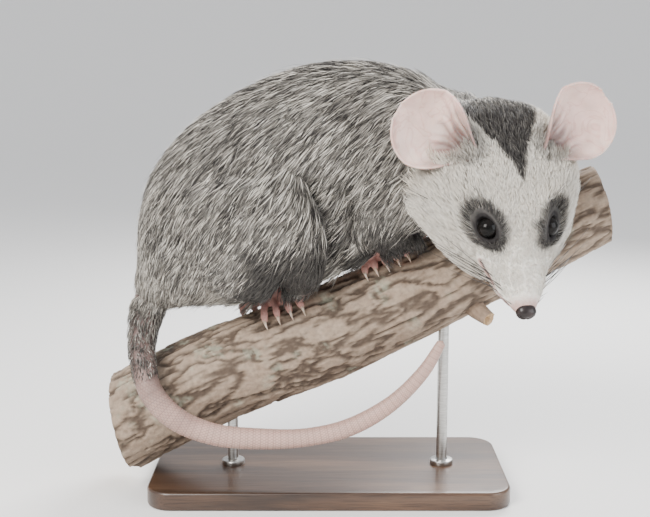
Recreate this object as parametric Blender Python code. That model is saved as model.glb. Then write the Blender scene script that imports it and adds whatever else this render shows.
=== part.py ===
"""A young white-eared opossum crouching on a short length of branch, life size, on a plain museum stand.

The animal faces along +X, up the slope of the branch, and turns its head to its right, towards -Y.
Every table below is in millimetres and MM turns it into metres. Half sizes reach out to the tips of
the coat, and the last number of a station is the depth of the coat there.
"""

import math
import random
from functools import lru_cache

import bmesh
import bpy
import numpy as np
from mathutils import Matrix, Vector
from mathutils.bvhtree import BVHTree
from mathutils.kdtree import KDTree

MM = 0.001
GAP = 0.3
TOUCH_REACH, TOUCH_STEP = 0.002, 0.02
# Triangles thinner than this, in millimetres, are dissolved after the cuts.
SLIVER = 0.01

# The branch: its axis climbs towards +X. Each station is x, z and radius.
BRANCH_AXIS = [
    (-122, 29, 27), (-92, 46, 27), (-58, 63, 26.5), (-28, 75, 26), (0, 86, 26),
    (26, 98, 25.5), (52, 110, 25), (77, 122, 24), (102, 134, 23), (126, 146, 22), (150, 159, 21),
]
BRANCH_SIDES = 18
BARK_WAVE = 0.7
# The left end is sawn on the slant; the stub of a broken twig stands out of the lower side.
SAW_CUT = ((-113, 0, 34), (-0.97, 0, -0.24))
STUB = [(78, -8, 106, 7, 6, 0), (84, -15, 101, 5.4, 4.8, 0), (89, -19, 98, 4.4, 3.8, 0)]

# The stand: a flat base and two rods that stop at the underside of the branch.
BASE_SIZE = (196, 92, 10)
BASE_X = 2
BASE_CORNER = 14
BASE_BEVEL = 1.5
ROD_RADIUS = 3
ROD_X = (-52, 66)
ROD_SIDES = 16

# The trunk, from the root of the tail to the base of the neck: x, y, z, half width, half height, coat.
TRUNK = [
    (-95, 0, 107, 10, 9, 2), (-86, 0, 118, 22, 21, 5), (-70, 0, 134.5, 35, 40.5, 7),
    (-48, 0, 154, 41, 52, 8), (-21, 0, 168.5, 44, 57.5, 9), (6, 0, 177.5, 43, 58.5, 9),
    (30, 0, 183.5, 40, 53.5, 9), (50, -1, 187, 35, 44, 8), (64, -6, 188, 30, 33, 8),
    (73, -14, 187, 24, 24, 7),
]
NECK = [
    (50, 0, 187, 32, 39, 8), (63, -8, 189, 31, 33, 8), (72, -20, 189, 30, 28, 7),
    (78, -33, 186, 29, 25, 5), (82, -43, 180, 26, 22, 3),
]

# The head is measured from the tip of the nose back towards the nape.
NOSE_TIP = (95.5, -88, 116.5)
HEAD_YAW = 12
HEAD_PITCH = 55
# Distance back, rise of the centre, half width, height above the centre, depth below it, coat.
HEAD = [
    (0, 0, 3.6, 2.8, 3.0, 0.2), (3, 0, 5.8, 4.4, 4.8, 0.3), (9, 0, 8.8, 6.4, 7.0, 0.5),
    (18, 0.3, 13.0, 9.0, 9.6, 0.8), (28, 1, 18.6, 11.9, 12.3, 1.2), (39, 2, 25.4, 15.1, 15.4, 1.6),
    (49, 3, 31.5, 17.8, 18.4, 2), (61, 4, 36.8, 20.6, 21, 2.5), (74, 4, 39.5, 22.8, 24, 3),
    (87, 3, 38, 23.6, 25, 3.5), (99, 1, 32, 22, 23, 4), (109, -1, 20, 16, 18, 4),
]
HEAD_PLANE = 92
# Each cheek is an egg: its place, back, out and up, its half sizes, and how far it spreads from the middle.
CHEEK_AT, CHEEK_SIZE, CHEEK_SPREAD = (52, 22.7, -9), (33, 12.3, 12.5), 26

# The legs, given for the animal's right side. Each station is x, y, z, half width, half height, coat.
THIGH = [
    (-72, -14, 139, 15, 22, 5), (-56, -25, 145, 19, 35, 7), (-38, -32, 147, 18.5, 37, 7),
    (-22, -35, 147, 15, 31, 6), (-11, -36, 144, 9, 17, 4),
]
SHANK = [
    (-17, -34, 146, 12, 15, 4), (-14.4, -34, 134.2, 11, 13.5, 3), (-13.2, -29.6, 124.6, 9, 11, 2),
    (-13.8, -23.2, 118.0, 6.8, 8.4, 1.5), (-14.2, -16.8, 113.4, 5.4, 6.4, 1),
]
UPPER_ARM = [
    (52, -17, 180, 12, 22, 6), (44, -26, 170, 14, 24, 6), (34, -32, 160, 13, 18, 6),
    (27, -34, 152, 10, 13, 5),
]
FOREARM = [
    (28, -34, 157, 11, 15, 4), (31.5, -32, 149.5, 10, 13.5, 3.5), (37.5, -25, 143.5, 8.2, 11, 2.5),
    (42, -15.5, 139, 5.8, 7.4, 1.7),
]
LEFT_HIND_SHIFT = -14
LEFT_FORE_SHIFT = 17
BRANCH_SLOPE = 0.44

# The tail, root to tip: x, y, z, radius.
TAIL = [
    (-93, 0, 112, 10), (-97, -4, 102, 8.6), (-99, -15, 89, 7.2), (-97, -28, 76, 6.6), (-91.5, -35, 61, 6.3),
    (-78, -38, 48, 6.1), (-58.5, -37, 39.5, 5.8), (-35, -35, 36.5, 5.5), (-11, -33, 36.5, 5.1),
    (13, -31, 41.5, 4.7), (35, -30, 54, 4.2), (52, -29, 71, 3.5), (62, -27, 87, 2.4),
]
TAIL_CUTS = (0.075, 0.26, 0.45, 0.64, 0.83, 1.0)
TAIL_SIDES = 10
TAIL_TIP_ROUNDING = 1.6

# Places on the head: distance back from the nose, out from the middle, and up.
EYE_AT, EYE_RADIUS = (40.5, 15, 11.9), 5.4
EYE_LOOKS, EYE_SLANT = (0.36, 0.66, 0.66), 0.35
LID_LIFT, LID_LONG, LID_SHORT, LID_THICK = 1.9, 6.2, 4.4, 0.95
NOSE_AT, NOSE_SIZE = (1.2, 0, 0.6), (4.9, 3.9, 3.7)
NOSTRIL_AT, NOSTRIL_SIZE = (-1.6, 2.7, 0.2), (1.2, 0.95, 1.5)
# The mouth: its corner and its front, each as a distance back and an angle below the side of the head.
LIP_BACK, LIP_FRONT, LIP_RADIUS = 28, 6.5, 1.25
LIP_CORNER, LIP_ANGLE, LIP_SAG = -2, 15, 2
EAR_AT = (78, 21, 20)
EAR_HEIGHT, EAR_HALF_WIDTH, EAR_THICKNESS = 39.5, 22.5, 1.1
# The ear is rolled by EAR_ROLL at its root, opens to EAR_OPEN at this share of its height, and bows back.
EAR_ROLL, EAR_OPEN, EAR_OPEN_AT, EAR_BOW, EAR_SUNK = 135, 42, 0.62, 5, 4
EAR_ROOT_WIDTH, EAR_ROWS, EAR_COLUMNS = 0.45, 9, 11
# For each ear, the way it rises from its root and the way its cup faces.
EAR_WAYS = {
    "right": ((-0.87, 0.05, 0.49), (-0.14, -0.98, 0.06)), "left": ((0.75, 0.12, 0.65), (0.40, -0.91, 0.05)),
}

# The regions that part the legs from the trunk: an oval prism along Y, whose inner end slants.
HIND_CELL = {"centre": (-35, 140), "half": (35, 44), "inner": (-26, 174, 0.38)}
FORE_CELL = {"centre": (38, 160), "half": (23, 37), "inner": (-22, 188, 0.33)}
NECK_PLANE = ((63, -8, 190), (0.8, -0.58, 0.1))
# Sizes of the blocks that cut the flesh: through the neck, at the root of the tail and at each ankle.
NECK_BLOCK, TAIL_BLOCK, ANKLE_BLOCK, FOOT_BLOCK, CELL_REACH = 160, 36, 44, 60, 120

# Feet, set on the round of the branch: the place along X, then angles from the top of the branch towards
# the side.
HIND_FOOT = {"x": -14, "ankle": 6, "ball": 12, "tips": 42, "toes": (-7.5, -2.6, 2.4, 7.2), "spread": 1.4}
FORE_FOOT = {"x": 43, "ankle": 2, "ball": 8, "tips": 33, "toes": (-7.6, -3.9, 0, 3.9, 7.6), "spread": 1.5}
TOE_RADIUS, TOE_ARCH, CLAW_LENGTH = 2.3, 2.0, 4.5
SOLE_HEIGHT = 4.6

BODY_VOXEL, BODY_SMOOTH, BODY_TRIANGLES = 2.4, 10, 1900
HEAD_VOXEL, HEAD_SMOOTH, HEAD_TRIANGLES = 1.5, 6, 1700
FOOT_VOXEL, FOOT_SMOOTH, FOOT_TRIANGLES = 0.8, 2, 440

# The coat: a core at half its depth, and flat tapered locks that reach out to the tips.
CORE_DEPTH = 0.5
# Each ring of a lock: share of its length, share of its width, lift off the core, thickness. A lift below
# nought is in millimetres, one above it is a share of the coat's height there.
LOCK_SEED = 7
LOCK_SPACING = {"torso": 20, "neck": 18, "hindleg": 19.5, "foreleg": 18}
LOCK_LENGTH = {"torso": 37, "neck": 31, "hindleg": 31, "foreleg": 26}
LOCK_WIDTH = {"torso": 21, "neck": 18, "hindleg": 19, "foreleg": 16}
LOCK_RINGS = ((0.0, 0.7, -2.2, 3.0), (0.34, 1.0, 0.1, 2.6), (0.70, 0.66, 0.55, 1.9))
LOCK_SHORTEST = 0.45
LOCK_STEPS = 10
LOCK_CURL = 0.16
LOCK_TRIES = 9000
# No lock grows where the skin faces down by more than this, nor nearer than this to the bark.
LOCK_UNDERSIDE, LOCK_OFF_BARK = -0.45, 9
COAT_LEAST, COAT_MOST = 1.2, 6.0

COLOURS = {
    "coat_grey": ((0.30, 0.28, 0.26), 0.9), "face_white": ((0.86, 0.83, 0.77), 0.85),
    "ear_skin": ((0.80, 0.66, 0.60), 0.6), "eye_black": ((0.012, 0.010, 0.010), 0.08),
    "nose_dark": ((0.10, 0.07, 0.07), 0.45), "leg_dark": ((0.16, 0.15, 0.14), 0.9),
    "foot_skin": ((0.62, 0.44, 0.40), 0.6), "tail_skin": ((0.70, 0.55, 0.50), 0.6),
    "bark": ((0.24, 0.18, 0.13), 0.95), "stand_wood": ((0.055, 0.04, 0.032), 0.35),
    "rod_steel": ((0.45, 0.44, 0.42), 0.3),
}
METALS = {"rod_steel"}


def clear_scene():
    for obj in list(bpy.data.objects):
        bpy.data.objects.remove(obj)


def material(name):
    """The named finish, made the first time that it is asked for."""
    found = bpy.data.materials.get(name)
    if found:
        return found
    colour, roughness = COLOURS[name]
    made = bpy.data.materials.new(name)
    made.use_nodes = True
    shader = made.node_tree.nodes["Principled BSDF"]
    shader.inputs["Base Color"].default_value = (*colour, 1)
    shader.inputs["Roughness"].default_value = roughness
    shader.inputs["Metallic"].default_value = float(name in METALS)
    return made


def add_object(name, points, faces):
    """A mesh object from points in millimetres."""
    mesh = bpy.data.meshes.new(name)
    mesh.from_pydata([tuple(p) for p in np.asarray(points, float) * MM], [], faces)
    mesh.update()
    obj = bpy.data.objects.new(name, mesh)
    bpy.context.scene.collection.objects.link(obj)
    return obj


def unit(vector):
    vector = np.asarray(vector, float)
    return vector / np.linalg.norm(vector)


def smooth_rows(rows, per_span):
    """Points on one smooth curve through the rows, per_span of them in each span."""
    rows = np.asarray(rows, float)
    padded = np.vstack([2 * rows[0] - rows[1], rows, 2 * rows[-1] - rows[-2]])
    out = []
    for a, b, c, d in zip(padded, padded[1:], padded[2:], padded[3:]):
        for t in np.arange(per_span) / per_span:
            square = (2 * a - 5 * b + 4 * c - d) * t**2
            cube = (3 * b - a - 3 * c + d) * t**3
            out.append(0.5 * (2 * b + (c - a) * t + square + cube))
    out.append(rows[-1])
    return np.array(out)


def tube_mesh(rings, poles=None):
    """Points and faces of a closed tube through equal rings, ended by fans to two poles or by flat caps."""
    count, sides = len(rings), len(rings[0])
    points = np.vstack(rings)
    faces = []
    for i in range(count - 1):
        for j in range(sides):
            k = (j + 1) % sides
            faces.append((i * sides + j, i * sides + k, (i + 1) * sides + k, (i + 1) * sides + j))
    if poles is None:
        faces.append(tuple(range(sides - 1, -1, -1)))
        faces.append(tuple((count - 1) * sides + j for j in range(sides)))
        return points, faces
    points = np.vstack([points, poles])
    first, last = len(points) - 2, len(points) - 1
    for j in range(sides):
        k = (j + 1) % sides
        faces.append((j, first, k))
        faces.append(((count - 1) * sides + j, (count - 1) * sides + k, last))
    return points, faces


def face_outwards(obj):
    """Turns all faces of a closed mesh outwards."""
    shape = bmesh.new()
    shape.from_mesh(obj.data)
    bmesh.ops.recalc_face_normals(shape, faces=shape.faces)
    shape.to_mesh(obj.data)
    shape.free()
    return obj


def loft(name, stations, side_hint, sides=28, per_span=4, depth=0.0):
    """A closed body through oval sections. depth is the share of the coat taken off each section."""
    rows = smooth_rows(stations, per_span)
    centres, coat = rows[:, :3], rows[:, -1]
    above, below = rows[:, 4] - coat * depth, rows[:, -2] - coat * depth
    width = rows[:, 3] - coat * depth
    tangents = np.gradient(centres, axis=0)
    angles = np.arange(sides) * math.tau / sides
    rings = []
    for centre, tangent, w, up_size, down_size in zip(centres, tangents, width, above, below):
        along = unit(tangent)
        side = unit(np.array(side_hint) - np.dot(side_hint, along) * along)
        up = np.cross(side, along)
        tall = np.where(np.sin(angles) > 0, up_size, down_size)
        rings.append(
            centre + np.outer(np.cos(angles) * w, side) + np.outer(np.sin(angles) * tall, up)
        )
    ends = [
        centres[0] - unit(tangents[0]) * width[0] * 0.5,
        centres[-1] + unit(tangents[-1]) * width[-1] * 0.5,
    ]
    return face_outwards(add_object(name, *tube_mesh(rings, ends)))


def evaluated_copy(obj, name):
    """A new object that holds obj's mesh with its modifiers applied, in place of obj."""
    bpy.context.view_layer.update()
    graph = bpy.context.evaluated_depsgraph_get()
    mesh = bpy.data.meshes.new_from_object(obj.evaluated_get(graph))
    mesh.transform(obj.matrix_world)
    made = bpy.data.objects.new(name, mesh)
    bpy.context.scene.collection.objects.link(made)
    bpy.data.objects.remove(obj)
    made.name = name
    return made


def merged(objects, name):
    """The objects' loose meshes in one object. They are removed."""
    shape = bmesh.new()
    for obj in objects:
        shape.from_mesh(obj.data)
        bpy.data.objects.remove(obj)
    mesh = bpy.data.meshes.new(name)
    shape.to_mesh(mesh)
    shape.free()
    made = bpy.data.objects.new(name, mesh)
    bpy.context.scene.collection.objects.link(made)
    return made


def melt(objects, name, voxel, smoothing, triangles):
    """Overlapping bodies run together in one smooth closed skin."""
    obj = merged(objects, name)
    remesh = obj.modifiers.new("Remesh", "REMESH")
    remesh.mode = "VOXEL"
    remesh.voxel_size = voxel * MM
    smooth = obj.modifiers.new("Smooth", "SMOOTH")
    smooth.factor = 0.5
    smooth.iterations = smoothing
    obj = evaluated_copy(obj, name)
    whole = sum(len(face.vertices) - 2 for face in obj.data.polygons)
    thin = obj.modifiers.new("Decimate", "DECIMATE")
    thin.ratio = min(1.0, triangles / whole)
    return evaluated_copy(obj, name)


def boolean(obj, other, operation, solver="EXACT"):
    """obj after one Boolean with other, which is removed."""
    name = obj.name
    step = obj.modifiers.new("Boolean", "BOOLEAN")
    step.operation = operation
    step.solver = solver
    step.object = other
    obj.name = name + "_before"
    made = evaluated_copy(obj, name)
    bpy.data.objects.remove(other)
    return made


def cut(obj, other, operation):
    """A Boolean on the flesh, whose creases fold over themselves and make the exact solver fail."""
    return boolean(obj, other, operation, "MANIFOLD")


def united(objects, name):
    """One closed body from overlapping ones, by a single Boolean on a collection."""
    first, rest = objects[0], objects[1:]
    if rest:
        group = bpy.data.collections.new(name + "_pieces")
        for obj in rest:
            group.objects.link(obj)
        step = first.modifiers.new("Union", "BOOLEAN")
        step.operation = "UNION"
        step.operand_type = "COLLECTION"
        step.solver = "MANIFOLD"
        step.collection = group
        made = evaluated_copy(first, name + "_union")
        for obj in list(rest):
            bpy.data.objects.remove(obj)
        bpy.data.collections.remove(group)
        made.name = name
        return made
    first.name = name
    return first


def draw_apart(shape):
    """Moves points of a surface that touch without being joined into the body by TOUCH_STEP each."""
    shape.verts.index_update()
    shape.verts.ensure_lookup_table()
    shape.normal_update()
    tree = KDTree(len(shape.verts))
    for vert in shape.verts:
        tree.insert(vert.co, vert.index)
    tree.balance()
    moved = set()
    for vert in shape.verts:
        joined = {edge.other_vert(vert).index for edge in vert.link_edges}
        for _, index, _ in tree.find_range(vert.co, TOUCH_REACH * MM):
            if index != vert.index and index not in joined:
                moved.update((index, vert.index))
    for index in moved:
        vert = shape.verts[index]
        vert.co -= vert.normal * TOUCH_STEP * MM


def largest_body(obj):
    """Keeps the largest closed surface of a mesh and drops the rest, even where they touch."""
    shape = bmesh.new()
    shape.from_mesh(obj.data)
    bmesh.ops.triangulate(shape, faces=shape.faces)
    bmesh.ops.dissolve_degenerate(shape, dist=SLIVER * MM, edges=shape.edges)
    bmesh.ops.triangulate(shape, faces=shape.faces)
    left = set(shape.faces)
    groups = []
    while left:
        stack = [left.pop()]
        group = set(stack)
        while stack:
            for edge in stack.pop().edges:
                if len(edge.link_faces) != 2:
                    continue
                for face in edge.link_faces:
                    if face in left:
                        left.remove(face)
                        group.add(face)
                        stack.append(face)
        groups.append(group)

    def volume(group):
        corners = [[vert.co for vert in face.verts] for face in group]
        return sum(a.dot(b.cross(c)) / 6 for a, b, c in corners)

    best = max(groups, key=volume)
    bmesh.ops.delete(shape, geom=[face for face in shape.faces if face not in best], context="FACES")
    bmesh.ops.delete(shape, geom=[vert for vert in shape.verts if not vert.link_faces], context="VERTS")
    draw_apart(shape)
    shape.to_mesh(obj.data)
    shape.free()
    return obj


def copy_of(obj, name):
    made = bpy.data.objects.new(name, obj.data.copy())
    bpy.context.scene.collection.objects.link(made)
    return made


def beyond_plane(point, normal, size=400.0):
    """A block that fills the space past a plane, up to its size."""
    normal = Vector(unit(normal))
    block = add_box("block", (size, size, size))
    turn = normal.to_track_quat("Z", "Y").to_matrix().to_4x4()
    middle = Vector(point) + normal * (size / 2)
    block.data.transform(Matrix.Translation(middle * MM) @ turn)
    return block


def add_box(name, size):
    shape = bmesh.new()
    bmesh.ops.create_cube(shape, size=1.0)
    bmesh.ops.scale(shape, vec=[s * MM for s in size], verts=shape.verts)
    mesh = bpy.data.meshes.new(name)
    shape.to_mesh(mesh)
    shape.free()
    obj = bpy.data.objects.new(name, mesh)
    bpy.context.scene.collection.objects.link(obj)
    return obj


def add_ball(name, centre, radii, turn=None, rings=10, segments=16):
    """An ellipsoid with its three half sizes, turned by a 3 by 3 matrix whose columns are its axes."""
    shape = bmesh.new()
    bmesh.ops.create_uvsphere(shape, u_segments=segments, v_segments=rings, radius=1.0)
    mesh = bpy.data.meshes.new(name)
    shape.to_mesh(mesh)
    shape.free()
    scale = Matrix.Diagonal((*[r * MM for r in radii], 1))
    place = Matrix.Translation(Vector(centre) * MM)
    mesh.transform(place @ (turn.to_4x4() if turn else Matrix.Identity(4)) @ scale)
    obj = bpy.data.objects.new(name, mesh)
    bpy.context.scene.collection.objects.link(obj)
    return obj


# The head's own axes: forward to the nose, up through the crown, and across towards the viewer's right.
YAW, PITCH = math.radians(HEAD_YAW), math.radians(HEAD_PITCH)
HEAD_FORWARD = np.array(
    [math.sin(YAW) * math.cos(PITCH), -math.cos(YAW) * math.cos(PITCH), -math.sin(PITCH)]
)
HEAD_UP = np.array([math.sin(YAW) * math.sin(PITCH), -math.cos(YAW) * math.sin(PITCH), math.cos(PITCH)])
HEAD_ACROSS = np.array([math.cos(YAW), math.sin(YAW), 0.0])


def head_point(back, out, up):
    """A place on the head: how far back from the nose, how far to the side, and how high."""
    return np.array(NOSE_TIP) - back * HEAD_FORWARD + out * HEAD_ACROSS + up * HEAD_UP


def head_loft(name, depth, first=0):
    """The head's body through its stations, from the given one back."""
    stations = [
        (*head_point(back, 0, rise), width, top, bottom, coat)
        for back, rise, width, top, bottom, coat in HEAD[first:]
    ]
    return loft(name, stations, HEAD_ACROSS, sides=32, per_span=4, depth=depth)


def mirrored(stations, shift):
    """Stations of the left leg: across the body, and moved along the branch."""
    return [
        (x + shift, -y, z + shift * BRANCH_SLOPE, *sizes) for x, y, z, *sizes in stations
    ]


def leg_stations(stations, side, shift):
    return stations if side == "right" else mirrored(stations, shift)


def body_lofts(depth):
    """The bodies that run together in the trunk, neck, legs and root of the tail."""
    tail_root = [(x, y, z, r, r, r * 0.2) for x, y, z, r in TAIL[:4]]
    made = [
        loft("trunk", TRUNK, (0, 1, 0), depth=depth),
        loft("neck", NECK, (0, 1, 0), depth=depth),
        loft("tail_root", tail_root, (1, 0, 0), sides=20, depth=0.0),
    ]
    limbs = (
        ("thigh", THIGH, LEFT_HIND_SHIFT, 28), ("shank", SHANK, LEFT_HIND_SHIFT, 20),
        ("arm", UPPER_ARM, LEFT_FORE_SHIFT, 28), ("forearm", FOREARM, LEFT_FORE_SHIFT, 20),
    )
    for side in ("right", "left"):
        for name, stations, shift, sides in limbs:
            rows = leg_stations(stations, side, shift)
            made.append(loft(name, rows, (0, 1, 0), sides=sides, depth=depth))
    return made


def make_branch():
    """The branch, slightly crooked and ridged, with the stub of a broken twig on its lower edge."""
    rows = smooth_rows(BRANCH_AXIS, 2)
    angles = np.arange(BRANCH_SIDES) * math.tau / BRANCH_SIDES
    tangents = np.gradient(rows[:, :2], axis=0)
    rings = []
    for i, ((x, z, radius), (tx, tz)) in enumerate(zip(rows, tangents)):
        along = unit((tx, 0, tz))
        up = np.array([-along[2], 0, along[0]])
        wave = BARK_WAVE * (np.sin(3 * angles + 0.35 * i) + 0.6 * np.sin(5 * angles - 0.5 * i))
        reach = radius + wave
        outwards = np.outer(np.sin(angles) * reach, (0, -1, 0)) + np.outer(np.cos(angles) * reach, up)
        rings.append(np.array([x, 0, z]) + outwards)
    branch = face_outwards(add_object("perch", *tube_mesh(rings)))
    branch = united([branch, loft("stub", STUB, (0, 1, 0), sides=9, per_span=2)], "perch")
    return largest_body(boolean(branch, beyond_plane(*SAW_CUT, size=90), "DIFFERENCE"))


def branch_at(x):
    """Centre, radius, unit axis and unit upward normal of the branch at a place along X."""
    rows = smooth_rows(BRANCH_AXIS, 6)
    z = np.interp(x, rows[:, 0], rows[:, 1])
    radius = np.interp(x, rows[:, 0], rows[:, 2])
    slope = (np.interp(x + 4, rows[:, 0], rows[:, 1]) - np.interp(x - 4, rows[:, 0], rows[:, 1])) / 8
    along = unit((1, 0, slope))
    return np.array([x, 0, z]), radius, along, np.array([-along[2], 0, along[0]])


def on_branch(x, angle, height, side):
    """A point at a height over the bark, turned by an angle in degrees from the top towards one side."""
    centre, radius, _, up = branch_at(x)
    out = np.array([0, -1 if side == "right" else 1, 0])
    turn = math.radians(angle)
    return centre + (radius + height) * (math.cos(turn) * up + math.sin(turn) * out)


def swollen(obj, gap=GAP):
    """A copy of a body that is larger all round by a little over the gap."""
    made = copy_of(obj, obj.name + "_swollen")
    push = made.modifiers.new("Swell", "DISPLACE")
    push.mid_level = 0
    push.strength = gap * 1.5 * MM
    return evaluated_copy(made, obj.name + "_swollen")


def cleared(obj, others):
    """obj cut back wherever it comes within the gap of the others, without any scrap that this leaves."""
    for other in others:
        obj = cut(obj, swollen(other), "DIFFERENCE")
    return largest_body(obj)


def cell(name, spec, side, shift, gap):
    """The oval prism that holds one leg, larger all round by the gap."""
    (x0, z0), (half_x, half_z), (y_top, z_top, slant) = spec["centre"], spec["half"], spec["inner"]
    sign = 1 if side == "right" else -1
    lift = shift * BRANCH_SLOPE
    rings = []
    for reach in (0, CELL_REACH):
        ring = []
        for k in range(24):
            turn = k * math.tau / 24
            x, z = (half_x + gap) * math.cos(turn), (half_z + gap) * math.sin(turn)
            y = y_top + (z_top - (z0 + z)) * slant + gap - reach
            ring.append((x0 + shift + x, y * sign, z0 + lift + z))
        rings.append(np.array(ring))
    return face_outwards(add_object(name, *tube_mesh(rings)))


def head_surface(back, angle, lift=0.0):
    """A place on the head's skin, at an angle round its section from the viewer's right."""
    rows = smooth_rows(HEAD, 4)
    rise, width, top, bottom = (np.interp(back, rows[:, 0], rows[:, k]) for k in (1, 2, 3, 4))
    turn = math.radians(angle)
    tall = top if math.sin(turn) > 0 else bottom
    return head_point(back, (width + lift) * math.cos(turn), rise + (tall + lift) * math.sin(turn))


def round_tube(name, path, radii, sides, side_hint):
    """A closed tube along a path, with a radius at each of its points."""
    stations = [(*p, r, r, 0) for p, r in zip(path, radii)]
    return loft(name, stations, side_hint, sides=sides, per_span=1)


def lip_groove(head):
    """The cutter for the line of the mouth, from one corner under the nose to the other, along the skin."""
    backs = np.linspace(LIP_BACK, LIP_FRONT, 8)
    share = np.linspace(0, 1, 8)
    angles = -LIP_CORNER - (LIP_ANGLE - LIP_CORNER) * share - LIP_SAG * np.sin(math.pi * share)
    right = [head_surface(b, a) for b, a in zip(backs, angles)]
    front = [head_surface(LIP_FRONT - 1.5, a) for a in (-50, -90, -130)]
    left = [head_surface(b, -180 - a) for b, a in zip(backs[::-1], angles[::-1])]
    skin = surface_finder(head)
    path = [skin(point)[0] for point in right + front + left]
    return round_tube("lip_groove", path, [LIP_RADIUS] * len(path), 4, HEAD_UP)


def surface_finder(obj):
    """A function that gives a mesh's nearest point, and the normal there, for a point in millimetres."""
    shape = bmesh.new()
    shape.from_mesh(obj.data)
    tree = BVHTree.FromBMesh(shape)
    shape.free()

    def nearest(point):
        spot, normal, _, _ = tree.find_nearest(Vector(point) * MM)
        return np.array(spot) / MM, np.array(normal)

    return nearest


def eye_centre(side):
    back, out, up = EYE_AT
    return head_point(back, -out if side == "right" else out, up)


def eye_axes(side):
    """The way an eye looks, the long way of its opening, and the way across it."""
    forward, out, up = EYE_LOOKS
    sign = -1 if side == "right" else 1
    looks = unit(forward * HEAD_FORWARD + sign * out * HEAD_ACROSS + up * HEAD_UP)
    ahead = HEAD_FORWARD - sign * EYE_SLANT * HEAD_ACROSS
    long_way = unit(ahead - np.dot(ahead, looks) * looks)
    return looks, long_way, np.cross(looks, long_way)


def eyelids(side):
    """The thick rim of the lids, an oval ring round the ball."""
    looks, long_way, across = eye_axes(side)
    middle = eye_centre(side) + LID_LIFT * looks
    steps, sides = 12, 5
    rings = []
    for k in range(steps):
        turn = k * math.tau / steps
        outwards = unit(LID_LONG * math.cos(turn) * long_way + LID_SHORT * math.sin(turn) * across)
        spot = middle + LID_LONG * math.cos(turn) * long_way + LID_SHORT * math.sin(turn) * across
        rings.append([
            spot + LID_THICK * (math.cos(a) * outwards + 1.25 * math.sin(a) * looks)
            for a in np.arange(sides) * math.tau / sides
        ])
    points = np.vstack(rings)
    faces = [
        (i * sides + j, i * sides + (j + 1) % sides,
         (i + 1) % steps * sides + (j + 1) % sides, (i + 1) % steps * sides + j)
        for i in range(steps) for j in range(sides)
    ]
    return face_outwards(add_object("lids", points, faces))


def head_matrix():
    """The head's axes, across, up and forward, as the columns of a matrix."""
    return Matrix([HEAD_ACROSS, HEAD_UP, HEAD_FORWARD]).transposed()


def make_nose():
    """The bare pad of the nose with its two nostrils."""
    pad = add_ball("nose", head_point(*NOSE_AT), NOSE_SIZE, head_matrix(), rings=8, segments=12)
    back, out, up = NOSTRIL_AT
    for sign in (-1, 1):
        hole = add_ball("hole", head_point(back, sign * out, up), NOSTRIL_SIZE, head_matrix(), 6, 8)
        pad = boolean(pad, hole, "DIFFERENCE")
    return pad


def make_ear(side):
    """The thin cup of one ear: nearly a tube at its root, opening to a broad shallow leaf."""
    back, out, up = EAR_AT
    root = head_point(back, -out if side == "right" else out, up)
    rises, faces_to = (unit(v) for v in EAR_WAYS[side])
    faces_to = unit(faces_to - np.dot(faces_to, rises) * rises)
    across = np.cross(rises, faces_to)
    rows, columns = EAR_ROWS, EAR_COLUMNS
    points = []
    for i in range(rows):
        share = i / (rows - 1)
        if share < 0.5:
            spread = EAR_ROOT_WIDTH + (1 - EAR_ROOT_WIDTH) * math.sin(math.pi * share)
        else:
            spread = math.sqrt(max(0.05, 1 - ((share - 0.5) / 0.5) ** 2.2))
        opening = math.radians(EAR_ROLL + (EAR_OPEN - EAR_ROLL) * min(1, share / EAR_OPEN_AT) ** 0.8)
        radius = EAR_HALF_WIDTH * spread / opening
        bow = -EAR_BOW * math.sin(math.pi * share)
        for j in range(columns):
            t = 2 * j / (columns - 1) - 1
            points.append(
                root + rises * (EAR_HEIGHT * share - 3 * abs(t) ** 3 * (1 - share))
                + across * radius * math.sin(opening * t)
                + faces_to * (radius * (1 - math.cos(opening * t)) + bow - EAR_SUNK)
            )
    faces = []
    for i in range(rows - 1):
        for j in range(columns - 1):
            a, b = i * columns + j, (i + 1) * columns + j
            faces += [(a, a + 1, b + 1), (a, b + 1, b)]
    ear = add_object("ear_" + side, points, faces)
    wall = ear.modifiers.new("Wall", "SOLIDIFY")
    wall.thickness = EAR_THICKNESS * MM
    wall.offset = 0
    ear = evaluated_copy(ear, "ear_" + side)
    return face_outwards(ear)


def make_toe(spec, start, side, shift):
    """One toe that curls over the bark, and its claw."""
    along = spec["x"] + shift
    angles = np.linspace(spec["ball"] - 6, spec["tips"], 4)
    shares = np.linspace(0, 1, 4)
    path = []
    for t, a in zip(shares, angles):
        height = TOE_RADIUS + 0.3 + TOE_ARCH * math.sin(math.pi * t)
        path.append(on_branch(along + start * (1 + (spec["spread"] - 1) * t), a, height, side))
    radii = [TOE_RADIUS * r for r in (1.05, 1.0, 0.95, 0.75)]
    toe = round_tube("toe", path, radii, 8, (1, 0, 0.4))
    tip_x = along + start * spec["spread"]
    step = CLAW_LENGTH / 2 / 0.45
    path = [on_branch(tip_x, spec["tips"] - 3 + k * step, h, side) for k, h in enumerate((3.0, 2.9, 1.1))]
    return toe, round_tube("claw", path, (1.0, 0.8, 0.15), 4, (1, 0, 0.4))


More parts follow.
